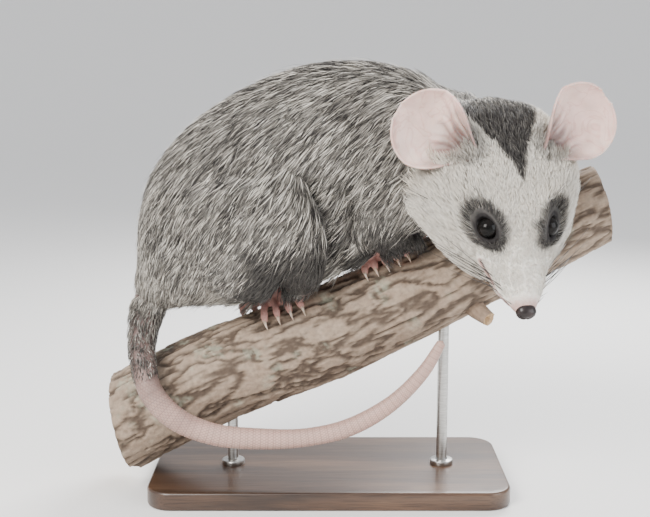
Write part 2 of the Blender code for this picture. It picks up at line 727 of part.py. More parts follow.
def make_foot(name, spec, leg, side, shift, thumb):
    """A hand or foot: the end of the leg, the palm, the toes and their claws."""
    along = spec["x"] + shift
    last, end = (np.array(leg_stations(leg, side, shift)[k], float) for k in (-2, -1))
    palm = [
        (*on_branch(along, spec["ankle"] - 2, SOLE_HEIGHT + 1.0, side), 5.4, 4.4, 0),
        (*on_branch(along, spec["ankle"] + 3, SOLE_HEIGHT + 0.6, side), 7.2, 4.4, 0),
        (*on_branch(along, spec["ball"] + 2, SOLE_HEIGHT, side), 8.6, 4.0, 0),
        (*on_branch(along, spec["ball"] + 8, SOLE_HEIGHT - 1, side), 7.6, 2.8, 0),
    ]
    ankle = [tuple(last), tuple(end), (*(end[:3] + (end - last)[:3] * 0.35), 4.4, 4.4, 0)]
    pieces = [
        loft("palm", palm, (1, 0, BRANCH_SLOPE), sides=16, per_span=3),
        loft("ankle", ankle, (0, 1, 0), sides=14, per_span=3),
    ]
    claws = []
    for start in spec["toes"]:
        toe, claw = make_toe(spec, start, side, shift)
        pieces.append(toe)
        claws.append(claw)
    if thumb:
        angles = np.linspace(spec["ankle"] + 8, spec["ankle"] - 2, 5)
        path = [
            on_branch(along + 4 + 14 * t, a, TOE_RADIUS + 0.4 + 1.2 * math.sin(math.pi * t), side)
            for t, a in zip(np.linspace(0, 1, 5), angles)
        ]
        pieces.append(round_tube("thumb", path, [2.6, 2.6, 2.5, 2.6, 1.7], 8, (0, 1, 0)))
    foot = melt(pieces, name, FOOT_VOXEL, FOOT_SMOOTH, FOOT_TRIANGLES)
    return united([foot, *claws], name)


def leg_end(leg, side, shift):
    """The plane where a leg meets its foot: a point and the way down the leg."""
    last, end = (np.array(leg_stations(leg, side, shift)[k][:3], float) for k in (-2, -1))
    return last + (end - last) * 0.45, unit(end - last)


@lru_cache
def tail_rows():
    rows = smooth_rows([(x, y, z, r) for x, y, z, r in TAIL], 6)
    steps = np.linalg.norm(np.diff(rows[:, :3], axis=0), axis=1)
    return rows, np.concatenate([[0], np.cumsum(steps)])


def tail_at(length):
    rows, lengths = tail_rows()
    return np.array([np.interp(length, lengths, rows[:, k]) for k in range(4)])


def make_tail():
    """The tail in a few lengths, each a tube with flat ends, and the last rounded at its tip."""
    _, lengths = tail_rows()
    whole = lengths[-1]
    pieces = []
    for number, (start, stop) in enumerate(zip(TAIL_CUTS, TAIL_CUTS[1:]), 1):
        first, last = start * whole + GAP / 2, stop * whole - GAP / 2
        count = max(4, round((last - first) / 7.0))
        at = list(np.linspace(first, last, count))
        rings = []
        for length in at:
            x, y, z, radius = tail_at(length)
            along = unit(tail_at(length + 0.5)[:3] - tail_at(length - 0.5)[:3])
            side = unit(np.cross(along, (0.3, 1, 0.1)))
            up = np.cross(side, along)
            turn = np.arange(TAIL_SIDES) * math.tau / TAIL_SIDES
            rings.append(
                np.array([x, y, z]) + radius * (np.outer(np.cos(turn), side) + np.outer(np.sin(turn), up))
            )
        if stop == 1.0:
            tip = tail_at(last)[:3]
            ends = [rings[0].mean(0), tip + unit(tip - tail_at(last - 2)[:3]) * TAIL_TIP_ROUNDING]
            made = add_object(f"tail_{number}", *tube_mesh(rings, ends))
        else:
            made = add_object(f"tail_{number}", *tube_mesh(rings))
        pieces.append(face_outwards(made))
    return pieces


def make_stand(branch):
    """The flat base, and the rods that end against the underside of the branch."""
    length, depth, height = BASE_SIZE
    corners = []
    for sx, sy, start in ((1, 1, 0), (-1, 1, 90), (-1, -1, 180), (1, -1, 270)):
        for k in range(5):
            turn = math.radians(start + 22.5 * k)
            corners.append((
                BASE_X + sx * (length / 2 - BASE_CORNER) + BASE_CORNER * math.cos(turn),
                sy * (depth / 2 - BASE_CORNER) + BASE_CORNER * math.sin(turn),
            ))
    rings = [np.array([(x, y, z) for x, y in corners]) for z in (0, height)]
    base = face_outwards(add_object("stand_base", *tube_mesh(rings)))
    edge = base.modifiers.new("Edge", "BEVEL")
    edge.width = BASE_BEVEL * MM
    edge.segments = 2
    edge.limit_method = "ANGLE"
    base = evaluated_copy(base, "stand_base")
    rods = []
    for number, x in enumerate(ROD_X, 1):
        centre, _, _, _ = branch_at(x)
        turn = np.arange(ROD_SIDES) * math.tau / ROD_SIDES
        ring = np.column_stack([x + ROD_RADIUS * np.cos(turn), ROD_RADIUS * np.sin(turn)])
        rings = [np.column_stack([ring, np.full(ROD_SIDES, z)]) for z in (height + GAP, centre[2])]
        rod = face_outwards(add_object(f"stand_rod_{number}", *tube_mesh(rings)))
        rods.append(cleared(rod, [branch]))
    return [base, *rods]


def whole_body(name, depth, triangles):
    """The trunk, neck, legs and back of the head in one skin, with a share of the coat taken off."""
    lofts = [*body_lofts(depth), head_loft("nape", 0.0, first=6)]
    return melt(lofts, name, BODY_VOXEL, BODY_SMOOTH, triangles)


def legs_of(side):
    """For one side, each leg's name, region, last stations and shift along the branch."""
    left = side == "left"
    return (
        ("hindleg_" + side, HIND_CELL, SHANK, LEFT_HIND_SHIFT if left else 0),
        ("foreleg_" + side, FORE_CELL, FOREARM, LEFT_FORE_SHIFT if left else 0),
    )


@lru_cache
def tail_plane():
    """The plane where the tail leaves the trunk: a point and the way down the tail."""
    _, lengths = tail_rows()
    start = TAIL_CUTS[0] * lengths[-1]
    return tail_at(start - GAP / 2)[:3], tail_at(start + 0.5)[:3] - tail_at(start - 0.5)[:3]


def node_at(point):
    """The name of the node whose region holds a point of the body."""
    place, normal = NECK_PLANE
    if np.dot(point - np.array(place), normal) > 0:
        return "head" if np.dot(point - head_point(HEAD_PLANE, 0, 0), HEAD_FORWARD) > -1 else "neck"
    spot, way = tail_plane()
    if np.dot(point - spot, unit(way)) > -3:
        return "tail"
    for side, sign in (("right", 1), ("left", -1)):
        for name, spec, _, shift in legs_of(side):
            (x0, z0), (half_x, half_z), (y_top, z_top, slant) = spec["centre"], spec["half"], spec["inner"]
            x, z = point[0] - x0 - shift, point[2] - z0 - shift * BRANCH_SLOPE
            inner = y_top + (z_top - (z0 + z)) * slant
            if (x / half_x) ** 2 + (z / half_z) ** 2 < 1 and point[1] * sign < inner:
                return name
    return "torso"


@lru_cache
def trunk_rows():
    return smooth_rows(TRUNK, 3)


def lie_of_coat(point, node):
    """The way the coat lies: back along the trunk, and down and back over the flanks and legs."""
    x, y, z = point
    rows = trunk_rows()
    nearest = int(np.argmin(np.abs(rows[:, 0] - x)))
    back = rows[max(nearest - 1, 0), :3] - rows[min(nearest + 1, len(rows) - 1), :3]
    if node == "neck":
        back = np.array(NECK[0][:3], float) - np.array(NECK[-1][:3], float)
    drop = {"torso": 0.75, "neck": 0.25}.get(node, 1.5)
    flank = min(1.0, abs(y) / 40)
    return unit(unit(back) + np.array([0, 0, -drop * flank]))


def make_lock(start, node, kind, skin, reach, bark, draw):
    """One flat lock that follows the core from its root, rises to the coat's tips and ends in a point."""
    length = LOCK_LENGTH[kind] * draw.uniform(0.85, 1.12)
    width = LOCK_WIDTH[kind] * draw.uniform(0.85, 1.12)
    curl = draw.uniform(-1, 1) * LOCK_CURL
    path, normals, ways = [], [], []
    spot, normal = skin(start)
    for step in range(LOCK_STEPS + 1):
        way = lie_of_coat(spot, node)
        way = way + curl * np.cross(normal, way) * (2 * step / LOCK_STEPS - 0.5)
        way = unit(way - np.dot(way, normal) * normal)
        if step and (node_at(spot + way * 2) != node or bark(spot) < 5):
            break
        path.append(spot)
        normals.append(normal)
        ways.append(way)
        spot, normal = skin(spot + way * length / LOCK_STEPS)
    run = len(path) - 1
    if run < LOCK_SHORTEST * LOCK_STEPS:
        return None
    shrink = run / LOCK_STEPS
    rings = []

    def at(share):
        k = share * run
        low = min(int(k), run - 1)
        blend = k - low
        mix = [a[low] * (1 - blend) + a[low + 1] * blend for a in (path, normals, ways)]
        return mix[0], unit(mix[1]), unit(mix[2])

    high = min(COAT_MOST, max(COAT_LEAST, reach(at(0.9)[0], at(0.9)[1])))
    for share, wide, lift, thick in LOCK_RINGS:
        spot, normal, way = at(share)
        side = np.cross(normal, way)
        half = width / 2 * wide * (0.6 + 0.4 * shrink)
        low = spot + normal * (lift if lift < 0 else lift * high)
        ridge = low + normal * thick
        droop = normal * 0.10 * half
        rings.append(np.array([low - side * half - droop, ridge, low + side * half - droop]))
    spot, normal, way = at(1.0)
    tip = spot + normal * high + way * 1.5
    root = rings[0].mean(axis=0)
    points, faces = tube_mesh(rings, [root, tip])
    return face_outwards(add_object("lock", points, faces))


def make_locks(core, envelope, branch):
    """All locks of the coat, spread evenly over the core, in one list for each node."""
    draw = random.Random(LOCK_SEED)
    skin = surface_finder(core)
    bark_at = surface_finder(branch)
    shape = bmesh.new()
    shape.from_mesh(envelope.data)
    outer = BVHTree.FromBMesh(shape)
    shape.free()

    def reach(spot, normal):
        hit = outer.ray_cast(Vector(spot) * MM, Vector(normal), 0.02)
        return 0.0 if hit[0] is None else hit[3] / MM

    def bark(spot):
        return float(np.linalg.norm(bark_at(spot)[0] - spot))

    faces = list(core.data.polygons)
    areas = np.cumsum([face.area for face in faces])
    roots, locks = [], {}
    for _ in range(LOCK_TRIES):
        face = faces[int(np.searchsorted(areas, draw.random() * areas[-1]))]
        corners = [core.data.vertices[i].co for i in face.vertices[:3]]
        a, b = sorted((draw.random(), draw.random()))
        spot = np.array(corners[0] * a + corners[1] * (b - a) + corners[2] * (1 - b)) / MM
        normal = np.array(face.normal)
        node = node_at(spot)
        kind = node.split("_")[0]
        if kind not in LOCK_SPACING or normal[2] < LOCK_UNDERSIDE:
            continue
        if reach(spot, normal) < COAT_LEAST or bark(spot) < LOCK_OFF_BARK:
            continue
        if any(np.linalg.norm(spot - other) < LOCK_SPACING[kind] for other in roots):
            continue
        lock = make_lock(spot, node, kind, skin, reach, bark, draw)
        if lock:
            roots.append(spot)
            locks.setdefault(node, []).append(lock)
    return locks


def make_flesh(branch):
    """The trunk, neck and legs: one melted core with each node's own locks, parted by thin cuts."""
    envelope = whole_body("envelope", 0.0, 3 * BODY_TRIANGLES)
    core = whole_body("core", CORE_DEPTH, BODY_TRIANGLES)
    locks = make_locks(core, envelope, branch)
    bpy.data.objects.remove(envelope)

    def grown(name):
        return united([copy_of(core, name), *locks.get(name, [])], name)

    point, normal = NECK_PLANE
    neck = cut(grown("neck"), beyond_plane(point, normal, NECK_BLOCK), "INTERSECT")
    neck_start = head_point(HEAD_PLANE + GAP / 2, 0, 0)
    neck = cut(neck, beyond_plane(neck_start, HEAD_FORWARD, NECK_BLOCK), "DIFFERENCE")
    torso = grown("torso")
    neck_edge = np.array(point) - unit(normal) * GAP
    torso = cut(torso, beyond_plane(neck_edge, normal, NECK_BLOCK), "DIFFERENCE")
    torso = cut(torso, beyond_plane(*tail_plane(), TAIL_BLOCK), "DIFFERENCE")
    legs = []
    for side in ("right", "left"):
        for name, spec, leg, shift in legs_of(side):
            piece = cut(grown(name), cell("cell", spec, side, shift, 0), "INTERSECT")
            end, way = leg_end(leg, side, shift)
            piece = cut(piece, beyond_plane(end - way * GAP / 2, way, ANKLE_BLOCK), "DIFFERENCE")
            piece = cut(piece, beyond_plane(neck_edge, normal, NECK_BLOCK), "DIFFERENCE")
            legs.append(cleared(piece, [branch]))
            torso = cut(torso, cell("cell", spec, side, shift, GAP), "DIFFERENCE")
    bpy.data.objects.remove(core)
    return [cleared(torso, [branch]), largest_body(neck), *legs]


def cheek(side):
    """The cheek and the muscle of the jaw: an egg that spreads away from the nose."""
    sign = -1 if side == "right" else 1
    back, out, up = CHEEK_AT
    turn = math.radians(CHEEK_SPREAD)
    long_way = -HEAD_FORWARD * math.cos(turn) + sign * HEAD_ACROSS * math.sin(turn)
    across = HEAD_ACROSS * math.cos(turn) + sign * HEAD_FORWARD * math.sin(turn)
    axes = Matrix([long_way, across, np.cross(long_way, across)]).transposed()
    return add_ball("cheek", head_point(back, sign * out, up), CHEEK_SIZE, axes, 16, 24)


def make_head():
    """The head with its cheeks, its lids, the line of the mouth and the seat of the nose."""
    nape = cut(loft("neck", NECK, (0, 1, 0)), beyond_plane(*NECK_PLANE, NECK_BLOCK), "INTERSECT")
    bodies = [head_loft("head", 0.0), nape, cheek("right"), cheek("left")]
    head = melt(bodies, "head", HEAD_VOXEL, HEAD_SMOOTH, HEAD_TRIANGLES)
    head = united([head, eyelids("right"), eyelids("left")], "head")
    head = cut(head, lip_groove(head), "DIFFERENCE")
    seat = [r + GAP for r in NOSE_SIZE]
    head = cut(head, add_ball("seat", head_point(*NOSE_AT), seat, head_matrix(), 10, 16), "DIFFERENCE")
    for side in ("right", "left"):
        socket = add_ball("socket", eye_centre(side), [EYE_RADIUS + GAP] * 3)
        head = cut(head, socket, "DIFFERENCE")
    head_end = head_point(HEAD_PLANE - GAP / 2, 0, 0)
    head = cut(head, beyond_plane(head_end, -HEAD_FORWARD, NECK_BLOCK), "DIFFERENCE")
    return largest_body(head)


def put_origin_under(objects):
    """Moves the whole model so that the origin lies under the middle of its box, on the floor."""
    corners = np.array([obj.data.vertices[i].co for obj in objects for i in range(len(obj.data.vertices))])
    low, high = corners.min(axis=0), corners.max(axis=0)
    shift = Vector((-(low[0] + high[0]) / 2, -(low[1] + high[1]) / 2, -low[2]))
    for obj in objects:
        obj.data.transform(Matrix.Translation(shift))
    return shift / MM


def paint(objects, name):
    for obj in objects:
        obj.data.materials.clear()
        obj.data.materials.append(material(name))
        obj.data.polygons.foreach_set("use_smooth", [True] * len(obj.data.polygons))
        obj.data.set_sharp_from_angle(angle=math.radians(40))


def main():
    clear_scene()
    branch = make_branch()
    torso, neck, *legs = make_flesh(branch)
    head = make_head()
    nose = make_nose()
    eyes = []
    for side in ("right", "left"):
        eyes.append(add_ball("eye_" + side, eye_centre(side), [EYE_RADIUS] * 3, rings=8, segments=14))
    ears = []
    for side in ("right", "left"):
        ears.append(cleared(make_ear(side), [head, neck]))
    feet = []
    for side in ("right", "left"):
        for leg_name, _, leg, shift in legs_of(side):
            hind = leg_name.startswith("hind")
            foot_name = leg_name.replace("leg", "foot")
            foot = make_foot(foot_name, HIND_FOOT if hind else FORE_FOOT, leg, side, shift, thumb=hind)
            end, way = leg_end(leg, side, shift)
            foot = cut(foot, beyond_plane(end + way * GAP / 2, -way, FOOT_BLOCK), "DIFFERENCE")
            own_leg = next(node for node in legs if node.name == leg_name)
            feet.append(cleared(foot, [branch, own_leg, torso]))
    tail = make_tail()
    stand = make_stand(branch)
    paint([torso, neck], "coat_grey")
    paint([head], "face_white")
    paint(ears, "ear_skin")
    paint(eyes, "eye_black")
    paint([nose], "nose_dark")
    paint(legs, "leg_dark")
    paint(feet, "foot_skin")
    paint(tail, "tail_skin")
    paint([branch], "bark")
    paint(stand[:1], "stand_wood")
    paint(stand[1:], "rod_steel")
    everything = [branch, torso, neck, head, nose, *legs, *eyes, *ears, *feet, *tail, *stand]
    return put_origin_under(everything)


ORIGIN_SHIFT = main()
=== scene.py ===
# %% [markdown]
# # A young white-eared opossum on a branch
#
# This is a museum model: the animal crouches on a short cut length of branch, looks down over its
# side, and lets its tail hang in a loop. A flat walnut base and two steel rods carry the branch.
# The solids of the model are already made and packed, and this lesson dresses them. Each cell makes
# one piece or one finish, as surfaces worked out with numpy.

import bmesh
import bpy
import numpy as np
from mathutils import Matrix, Vector


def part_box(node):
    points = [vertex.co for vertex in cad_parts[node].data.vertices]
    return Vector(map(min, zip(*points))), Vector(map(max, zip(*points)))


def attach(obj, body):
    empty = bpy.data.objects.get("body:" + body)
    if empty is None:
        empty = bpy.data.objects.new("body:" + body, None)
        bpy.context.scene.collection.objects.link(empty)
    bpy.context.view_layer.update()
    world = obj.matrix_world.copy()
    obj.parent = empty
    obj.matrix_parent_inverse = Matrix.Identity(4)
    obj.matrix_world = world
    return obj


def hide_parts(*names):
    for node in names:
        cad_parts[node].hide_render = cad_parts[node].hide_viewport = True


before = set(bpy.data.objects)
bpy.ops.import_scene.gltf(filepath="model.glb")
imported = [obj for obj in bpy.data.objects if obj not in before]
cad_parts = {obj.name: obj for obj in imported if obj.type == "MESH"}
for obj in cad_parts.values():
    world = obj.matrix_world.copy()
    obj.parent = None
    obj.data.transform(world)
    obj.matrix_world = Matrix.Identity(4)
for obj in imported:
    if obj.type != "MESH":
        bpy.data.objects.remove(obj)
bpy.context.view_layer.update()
MM = 0.001

# %% [markdown]
# Every table below is in millimetres, in the animal's own design space: X runs up the branch, Y away
# from the viewer, Z up from the floor, with zero under the middle of the branch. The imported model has
# its zero under the middle of its box instead. The base shows how far the two are apart.

# %% The design space
BASE_X = 2.0
BASE_SIZE = (196.0, 92.0, 10.0)
base_low, base_high = (np.array(corner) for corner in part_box("stand_base"))
ORIGIN = np.array([*(base_low + base_high)[:2] / 2, 0.0]) - np.array([BASE_X * MM, 0, 0])


def placed(points):
    """Design points in millimetres as points of the model in metres: scaled, then moved by the origin."""
    return np.asarray(points, float) * MM + ORIGIN


def unit(vectors):
    """Vectors divided by their own lengths."""
    vectors = np.asarray(vectors, float)
    return vectors / np.maximum(np.linalg.norm(vectors, axis=-1, keepdims=True), 1e-12)


def smoothstep(low, high, values):
    """0 below low, 1 above high, and between them 3t^2 - 2t^3 of the share t."""
    t = np.clip((values - low) / (high - low), 0, 1)
    return t * t * (3 - 2 * t)


print("design origin in the model:", ORIGIN.round(5))

# %% [markdown]
# The camera comes first. It stands ten degrees above the
# branch, 62 cm from the middle of the model, with the picture's own framing.

# %% Camera
IMAGE = (650, 517)
TARGET = (0, 0, 128)
DISTANCE = 620
ELEVATION = np.radians(10)
FOCAL_PIXELS = 1127

camera = bpy.data.objects.new("camera", bpy.data.cameras.new("camera"))
bpy.context.scene.collection.objects.link(camera)
bpy.context.scene.camera = camera
away = np.array([0, -np.cos(ELEVATION), np.sin(ELEVATION)])
camera.location = placed(np.array(TARGET) + DISTANCE * away)
camera.rotation_euler = Vector(-away).to_track_quat("-Z", "Y").to_euler()
camera.data.sensor_width = 36
camera.data.lens = 36 * FOCAL_PIXELS / IMAGE[0]
camera.data.clip_start = 0.01
print("camera at", [round(v, 3) for v in camera.location], "lens", round(camera.data.lens, 1))

# %% [markdown]
# A few helpers carry the whole lesson. One puts arrays into a mesh. One joins rings of points into a
# closed tube. One draws a smooth curve through rows of numbers. One is a noise: random numbers sit on
# the corners of a grid of cubes, and the value between them is blended, so that it changes gently.


# %% Mesh helpers
def mesh_from(name, points, faces, smooth=True):
    """A mesh piece from an array of model points and an array or list of faces."""
    mesh = bpy.data.meshes.new(name)
    points = np.ascontiguousarray(points, np.float32)
    if isinstance(faces, np.ndarray):
        count, corners = faces.shape
        mesh.vertices.add(len(points))
        mesh.vertices.foreach_set("co", points.ravel())
        mesh.loops.add(count * corners)
        mesh.loops.foreach_set("vertex_index", np.ascontiguousarray(faces, np.int32).ravel())
        mesh.polygons.add(count)
        mesh.polygons.foreach_set("loop_start", np.arange(0, count * corners, corners, dtype=np.int32))
        mesh.update(calc_edges=True)
        mesh.validate()
    else:
        mesh.from_pydata(points.tolist(), [], faces)
    mesh.polygons.foreach_set("use_smooth", np.full(len(mesh.polygons), smooth))
    piece = bpy.data.objects.new(name, mesh)
    bpy.context.scene.collection.objects.link(piece)
    return piece


def grid_faces(rows, columns, closed=False):
    """The four corners of each cell of a grid of points, joined across its last column where it is closed."""
    i, j = np.meshgrid(np.arange(rows - 1), np.arange(columns if closed else columns - 1), indexing="ij")
    k = (j + 1) % columns
    return np.stack([i * columns + j, i * columns + k, (i + 1) * columns + k, (i + 1) * columns + j], -1).reshape(-1, 4)


def tube(name, rings, poles):
    """A closed tube: grid faces between the rings, and a fan of triangles from each end ring to its pole."""
    count, sides = rings.shape[:2]
    points = np.vstack([rings.reshape(-1, 3), poles])
    faces = grid_faces(count, sides, closed=True).tolist()
    j = np.arange(sides)
    k, last = (j + 1) % sides, (count - 1) * sides
    faces += np.stack([j, np.full(sides, count * sides), k], -1).tolist()
    faces += np.stack([last + j, last + k, np.full(sides, count * sides + 1)], -1).tolist()
    piece = mesh_from(name, points, faces)
    return face_outwards(piece)


def face_outwards(piece):
    """Turns the faces of a closed mesh outwards."""
    shape = bmesh.new()
    shape.from_mesh(piece.data)
    bmesh.ops.recalc_face_normals(shape, faces=shape.faces)
    shape.to_mesh(piece.data)
    shape.free()
    return piece


def vertex_array(piece, what="co"):
    """The points or normals of a mesh as an array."""
    mesh = piece.data
    out = np.empty(len(mesh.vertices) * 3, np.float32)
    if what == "co":
        mesh.vertices.foreach_get("co", out)
    else:
        mesh.vertex_normals.foreach_get("vector", out)
    return out.reshape(-1, 3).astype(float)


def applied(piece):
    """The same piece with its modifiers worked into its mesh."""
    bpy.context.view_layer.update()
    graph = bpy.context.evaluated_depsgraph_get()
    mesh = bpy.data.meshes.new_from_object(piece.evaluated_get(graph))
    piece.modifiers.clear()
    piece.data = mesh
    return piece


print("mesh helpers ready")


# %% Curve and noise helpers
def smooth_rows(rows, per_span):
    """A Catmull-Rom curve: each span is the cubic through its two rows whose slopes come from their neighbours."""
    rows = np.asarray(rows, float)
    padded = np.vstack([2 * rows[0] - rows[1], rows, 2 * rows[-1] - rows[-2]])
    a, b, c, d = (padded[k : len(padded) - 3 + k, None] for k in range(4))
    t = (np.arange(per_span) / per_span)[None, :, None]
    curve = 0.5 * (2 * b + (c - a) * t + (2 * a - 5 * b + 4 * c - d) * t**2 + (3 * b - a - 3 * c + d) * t**3)
    return np.vstack([curve.reshape(-1, rows.shape[1]), rows[-1]])


def lattice(cells, seed):
    """A repeatable random number from 0 to 1 for each whole-number cell."""
    x, y, z = (cells[..., k].astype(np.int64) for k in range(3))
    mixed = (x * 374761393 + y * 668265263 + z * 2147483647 + seed * 1274126177) & 0xFFFFFFFF
    mixed = ((mixed ^ (mixed >> 13)) * 1274126177) & 0xFFFFFFFF
    return ((mixed ^ (mixed >> 16)) & 0xFFFFFF) / 0xFFFFFF


def noise(points, seed=0):
    """Value noise: the eight corners of each point's cube, blended by smoothed shares. It runs from 0 to 1."""
    whole = np.floor(points)
    share = points - whole
    share = share * share * (3 - 2 * share)
    total = 0
    for corner in range(8):
        step = np.array([corner & 1, corner >> 1 & 1, corner >> 2 & 1])
        weight = np.prod(np.where(step, share, 1 - share), axis=-1)
        total = total + weight * lattice(whole + step, seed)
    return total


def layered_noise(points, octaves=4, seed=0):
    """Noises of doubling fineness and halving strength, added up. It runs from 0 to 1."""
    total, weight = 0, 0
    for octave in range(octaves):
        total = total + noise(points * 2**octave, seed + octave) / 2**octave
        weight += 1 / 2**octave
    return total / weight


print("noise of the zero point:", float(noise(np.zeros((1, 3)))[0]))

# %% [markdown]
# The animal's measures follow, in rows. A row of a body part holds the centre of one oval section, its
# half width, its half height or heights, and how deep the coat is there. A smooth curve through the
# rows gives the section at any place between them.

# %% Measures of the body
TRUNK = [
    (-95, 0, 107, 10, 9, 2), (-86, 0, 118, 22, 21, 5), (-70, 0, 134.5, 35, 40.5, 7),
    (-48, 0, 154, 41, 52, 8), (-21, 0, 168.5, 44, 57.5, 9), (6, 0, 177.5, 43, 58.5, 9),
    (30, 0, 183.5, 40, 53.5, 9), (50, -1, 187, 35, 44, 8), (64, -6, 188, 30, 33, 8),
    (73, -14, 187, 24, 24, 7),
]
NECK = [
    (50, 0, 187, 32, 39, 8), (63, -8, 189, 31, 33, 8), (72, -20, 189, 30, 28, 7),
    (78, -33, 186, 29, 25, 5), (82, -43, 180, 26, 22, 3),
]
THIGH = [
    (-72, -14, 139, 15, 22, 5), (-56, -25, 145, 19, 35, 7), (-38, -32, 147, 18.5, 37, 7),
    (-22, -35, 147, 15, 31, 6), (-11, -36, 144, 9, 17, 4),
]
SHANK = [
    (-17, -34, 146, 12, 15, 4), (-14.4, -34, 134.2, 11, 13.5, 3), (-13.2, -29.6, 124.6, 9, 11, 2),
    (-13.8, -23.2, 118.0, 6.8, 8.4, 1.5), (-14.2, -16.8, 113.4, 5.4, 6.4, 1),
]
UPPER_ARM = [
    (52, -17, 180, 12, 22, 6), (44, -26, 170, 14, 24, 6), (34, -32, 160, 13, 18, 6),
    (27, -34, 152, 10, 13, 5),
]
FOREARM = [
    (28, -34, 157, 11, 15, 4), (31.5, -32, 149.5, 10, 13.5, 3.5), (37.5, -25, 143.5, 8.2, 11, 2.5),
    (42, -15.5, 139, 5.8, 7.4, 1.7),
]
TAIL = [
    (-93, 0, 112, 10), (-97, -4, 102, 8.6), (-99, -15, 89, 7.2), (-97, -28, 76, 6.6), (-91.5, -35, 61, 6.3),
    (-78, -38, 48, 6.1), (-58.5, -37, 39.5, 5.8), (-35, -35, 36.5, 5.5), (-11, -33, 36.5, 5.1),
    (13, -31, 41.5, 4.7), (35, -30, 54, 4.2), (52, -29, 71, 3.5), (62, -27, 87, 2.4),
]
# The left legs stand a little further along the branch than the right ones.
LEFT_SHIFT = {"hind": -14, "fore": 17}
BRANCH_SLOPE = 0.44
# Body: the skin lies under the tips of the coat by this share of the coat's depth. Head: by all of it.
SKIN_DEPTH = 0.55

# Head: distance back from the nose, rise, half width, height above, height below, and coat.
NOSE_TIP = np.array([95.5, -88, 116.5])
YAW, PITCH = np.radians(12), np.radians(55)
FORWARD = np.array([np.sin(YAW) * np.cos(PITCH), -np.cos(YAW) * np.cos(PITCH), -np.sin(PITCH)])
UP = np.array([np.sin(YAW) * np.sin(PITCH), -np.cos(YAW) * np.sin(PITCH), np.cos(PITCH)])
ACROSS = np.array([np.cos(YAW), np.sin(YAW), 0])
HEAD = [
    (0, 0, 3.6, 2.8, 3.0, 0.2), (3, 0, 5.8, 4.4, 4.8, 0.3), (9, 0, 8.8, 6.4, 7.0, 0.5),
    (18, 0.3, 13.0, 9.0, 9.6, 0.8), (28, 1, 18.6, 11.9, 12.3, 1.2), (39, 2, 25.4, 15.1, 15.4, 1.6),
    (49, 3, 31.5, 17.8, 18.4, 2), (61, 4, 36.8, 20.6, 21, 2.5), (74, 4, 39.5, 22.8, 24, 3),
    (87, 3, 38, 23.6, 25, 3.5), (99, 1, 32, 22, 23, 4), (109, -1, 20, 16, 18, 4),
]


def head_point(back, out, up):
    """Places on the head: back from the nose, out to the animal's left, and up. Each moves along its own axis."""
    back, out, up = (np.asarray(v, float)[..., None] for v in (back, out, up))
    return NOSE_TIP - back * FORWARD + out * ACROSS + up * UP


def head_places(points):
    """The reverse: how far back, out and up each point lies, by dot products with the head's axes."""
    rel = points - NOSE_TIP
    return -rel @ FORWARD, rel @ ACROSS, rel @ UP


print("tail rows:", len(TAIL), "head rows:", len(HEAD))


# %% Oval sections
def oval_rings(stations, side_hint, sides=48, per_span=6, depth=0.0):
    """Rings and end poles of a body part.

    A ring point is the centre + cos(turn) * half width * side + sin(turn) * half height * up, where the
    side is the hint made square to the curve, and up is square to both. depth takes off coat.
    """
    rows = smooth_rows(stations, per_span)
    centres, coat = rows[:, :3], rows[:, -1] * depth
    width, above, below = rows[:, 3] - coat, rows[:, 4] - coat, rows[:, -2] - coat
    along = unit(np.gradient(centres, axis=0))
    side = unit(np.array(side_hint, float) - (along @ np.array(side_hint, float))[:, None] * along)
    up = np.cross(side, along)
    turn = np.arange(sides) * 2 * np.pi / sides
    tall = np.where(np.sin(turn) > 0, above[:, None], below[:, None])
    rings = centres[:, None] + (np.cos(turn) * width[:, None])[..., None] * side[:, None]
    rings = rings + (np.sin(turn) * tall)[..., None] * up[:, None]
    poles = np.stack([centres[0] - along[0] * width[0] / 2, centres[-1] + along[-1] * width[-1] / 2])
    return rings, poles


def leg_rows(rows, side, limb):
    """Rows of a right leg as they are, or those of the left leg: across the body and moved along the branch."""
    if side == "right":
        return rows
    shift = LEFT_SHIFT[limb]
    return [(x + shift, -y, z + shift * BRANCH_SLOPE, *sizes) for x, y, z, *sizes in rows]


HEAD_ROWS = [(*head_point(back, 0, rise), *sizes) for back, rise, *sizes in HEAD]
# Each cheek is an egg: its place, back, out and up, its half sizes, and how far it spreads from the middle.
CHEEK_AT, CHEEK_SIZE, CHEEK_SPREAD = (52, 22.7, -9), (32, 11.0, 11.2), 26
TAIL_ROOT = [(x, y, z, r, r, r * 0.2) for x, y, z, r in TAIL[:4]]
PARTS = {
    "trunk": (TRUNK, (0, 1, 0)),
    "neck": (NECK, (0, 1, 0)),
    "tail_root": (TAIL_ROOT, (1, 0, 0)),
}
for side in ("right", "left"):
    PARTS["thigh_" + side] = (leg_rows(THIGH, side, "hind"), (0, 1, 0))
    PARTS["shank_" + side] = (leg_rows(SHANK, side, "hind"), (0, 1, 0))
    PARTS["arm_" + side] = (leg_rows(UPPER_ARM, side, "fore"), (0, 1, 0))
    PARTS["forearm_" + side] = (leg_rows(FOREARM, side, "fore"), (0, 1, 0))
print("body parts:", ", ".join(PARTS))

# %% [markdown]
# The branch is needed early, because the feet are laid on it. A function gives its middle, its radius
# and its upward side at any place along X, and another puts a point at a height over the bark.

# %% The line of the branch
BRANCH_AXIS = np.array([
    (-122, 29, 27), (-92, 46, 27), (-58, 63, 26.5), (-28, 75, 26), (0, 86, 26), (26, 98, 25.5),
    (52, 110, 25), (77, 122, 24), (102, 134, 23), (126, 146, 22), (150, 159, 21),
], float)
BRANCH_ROWS = smooth_rows(BRANCH_AXIS, 6)


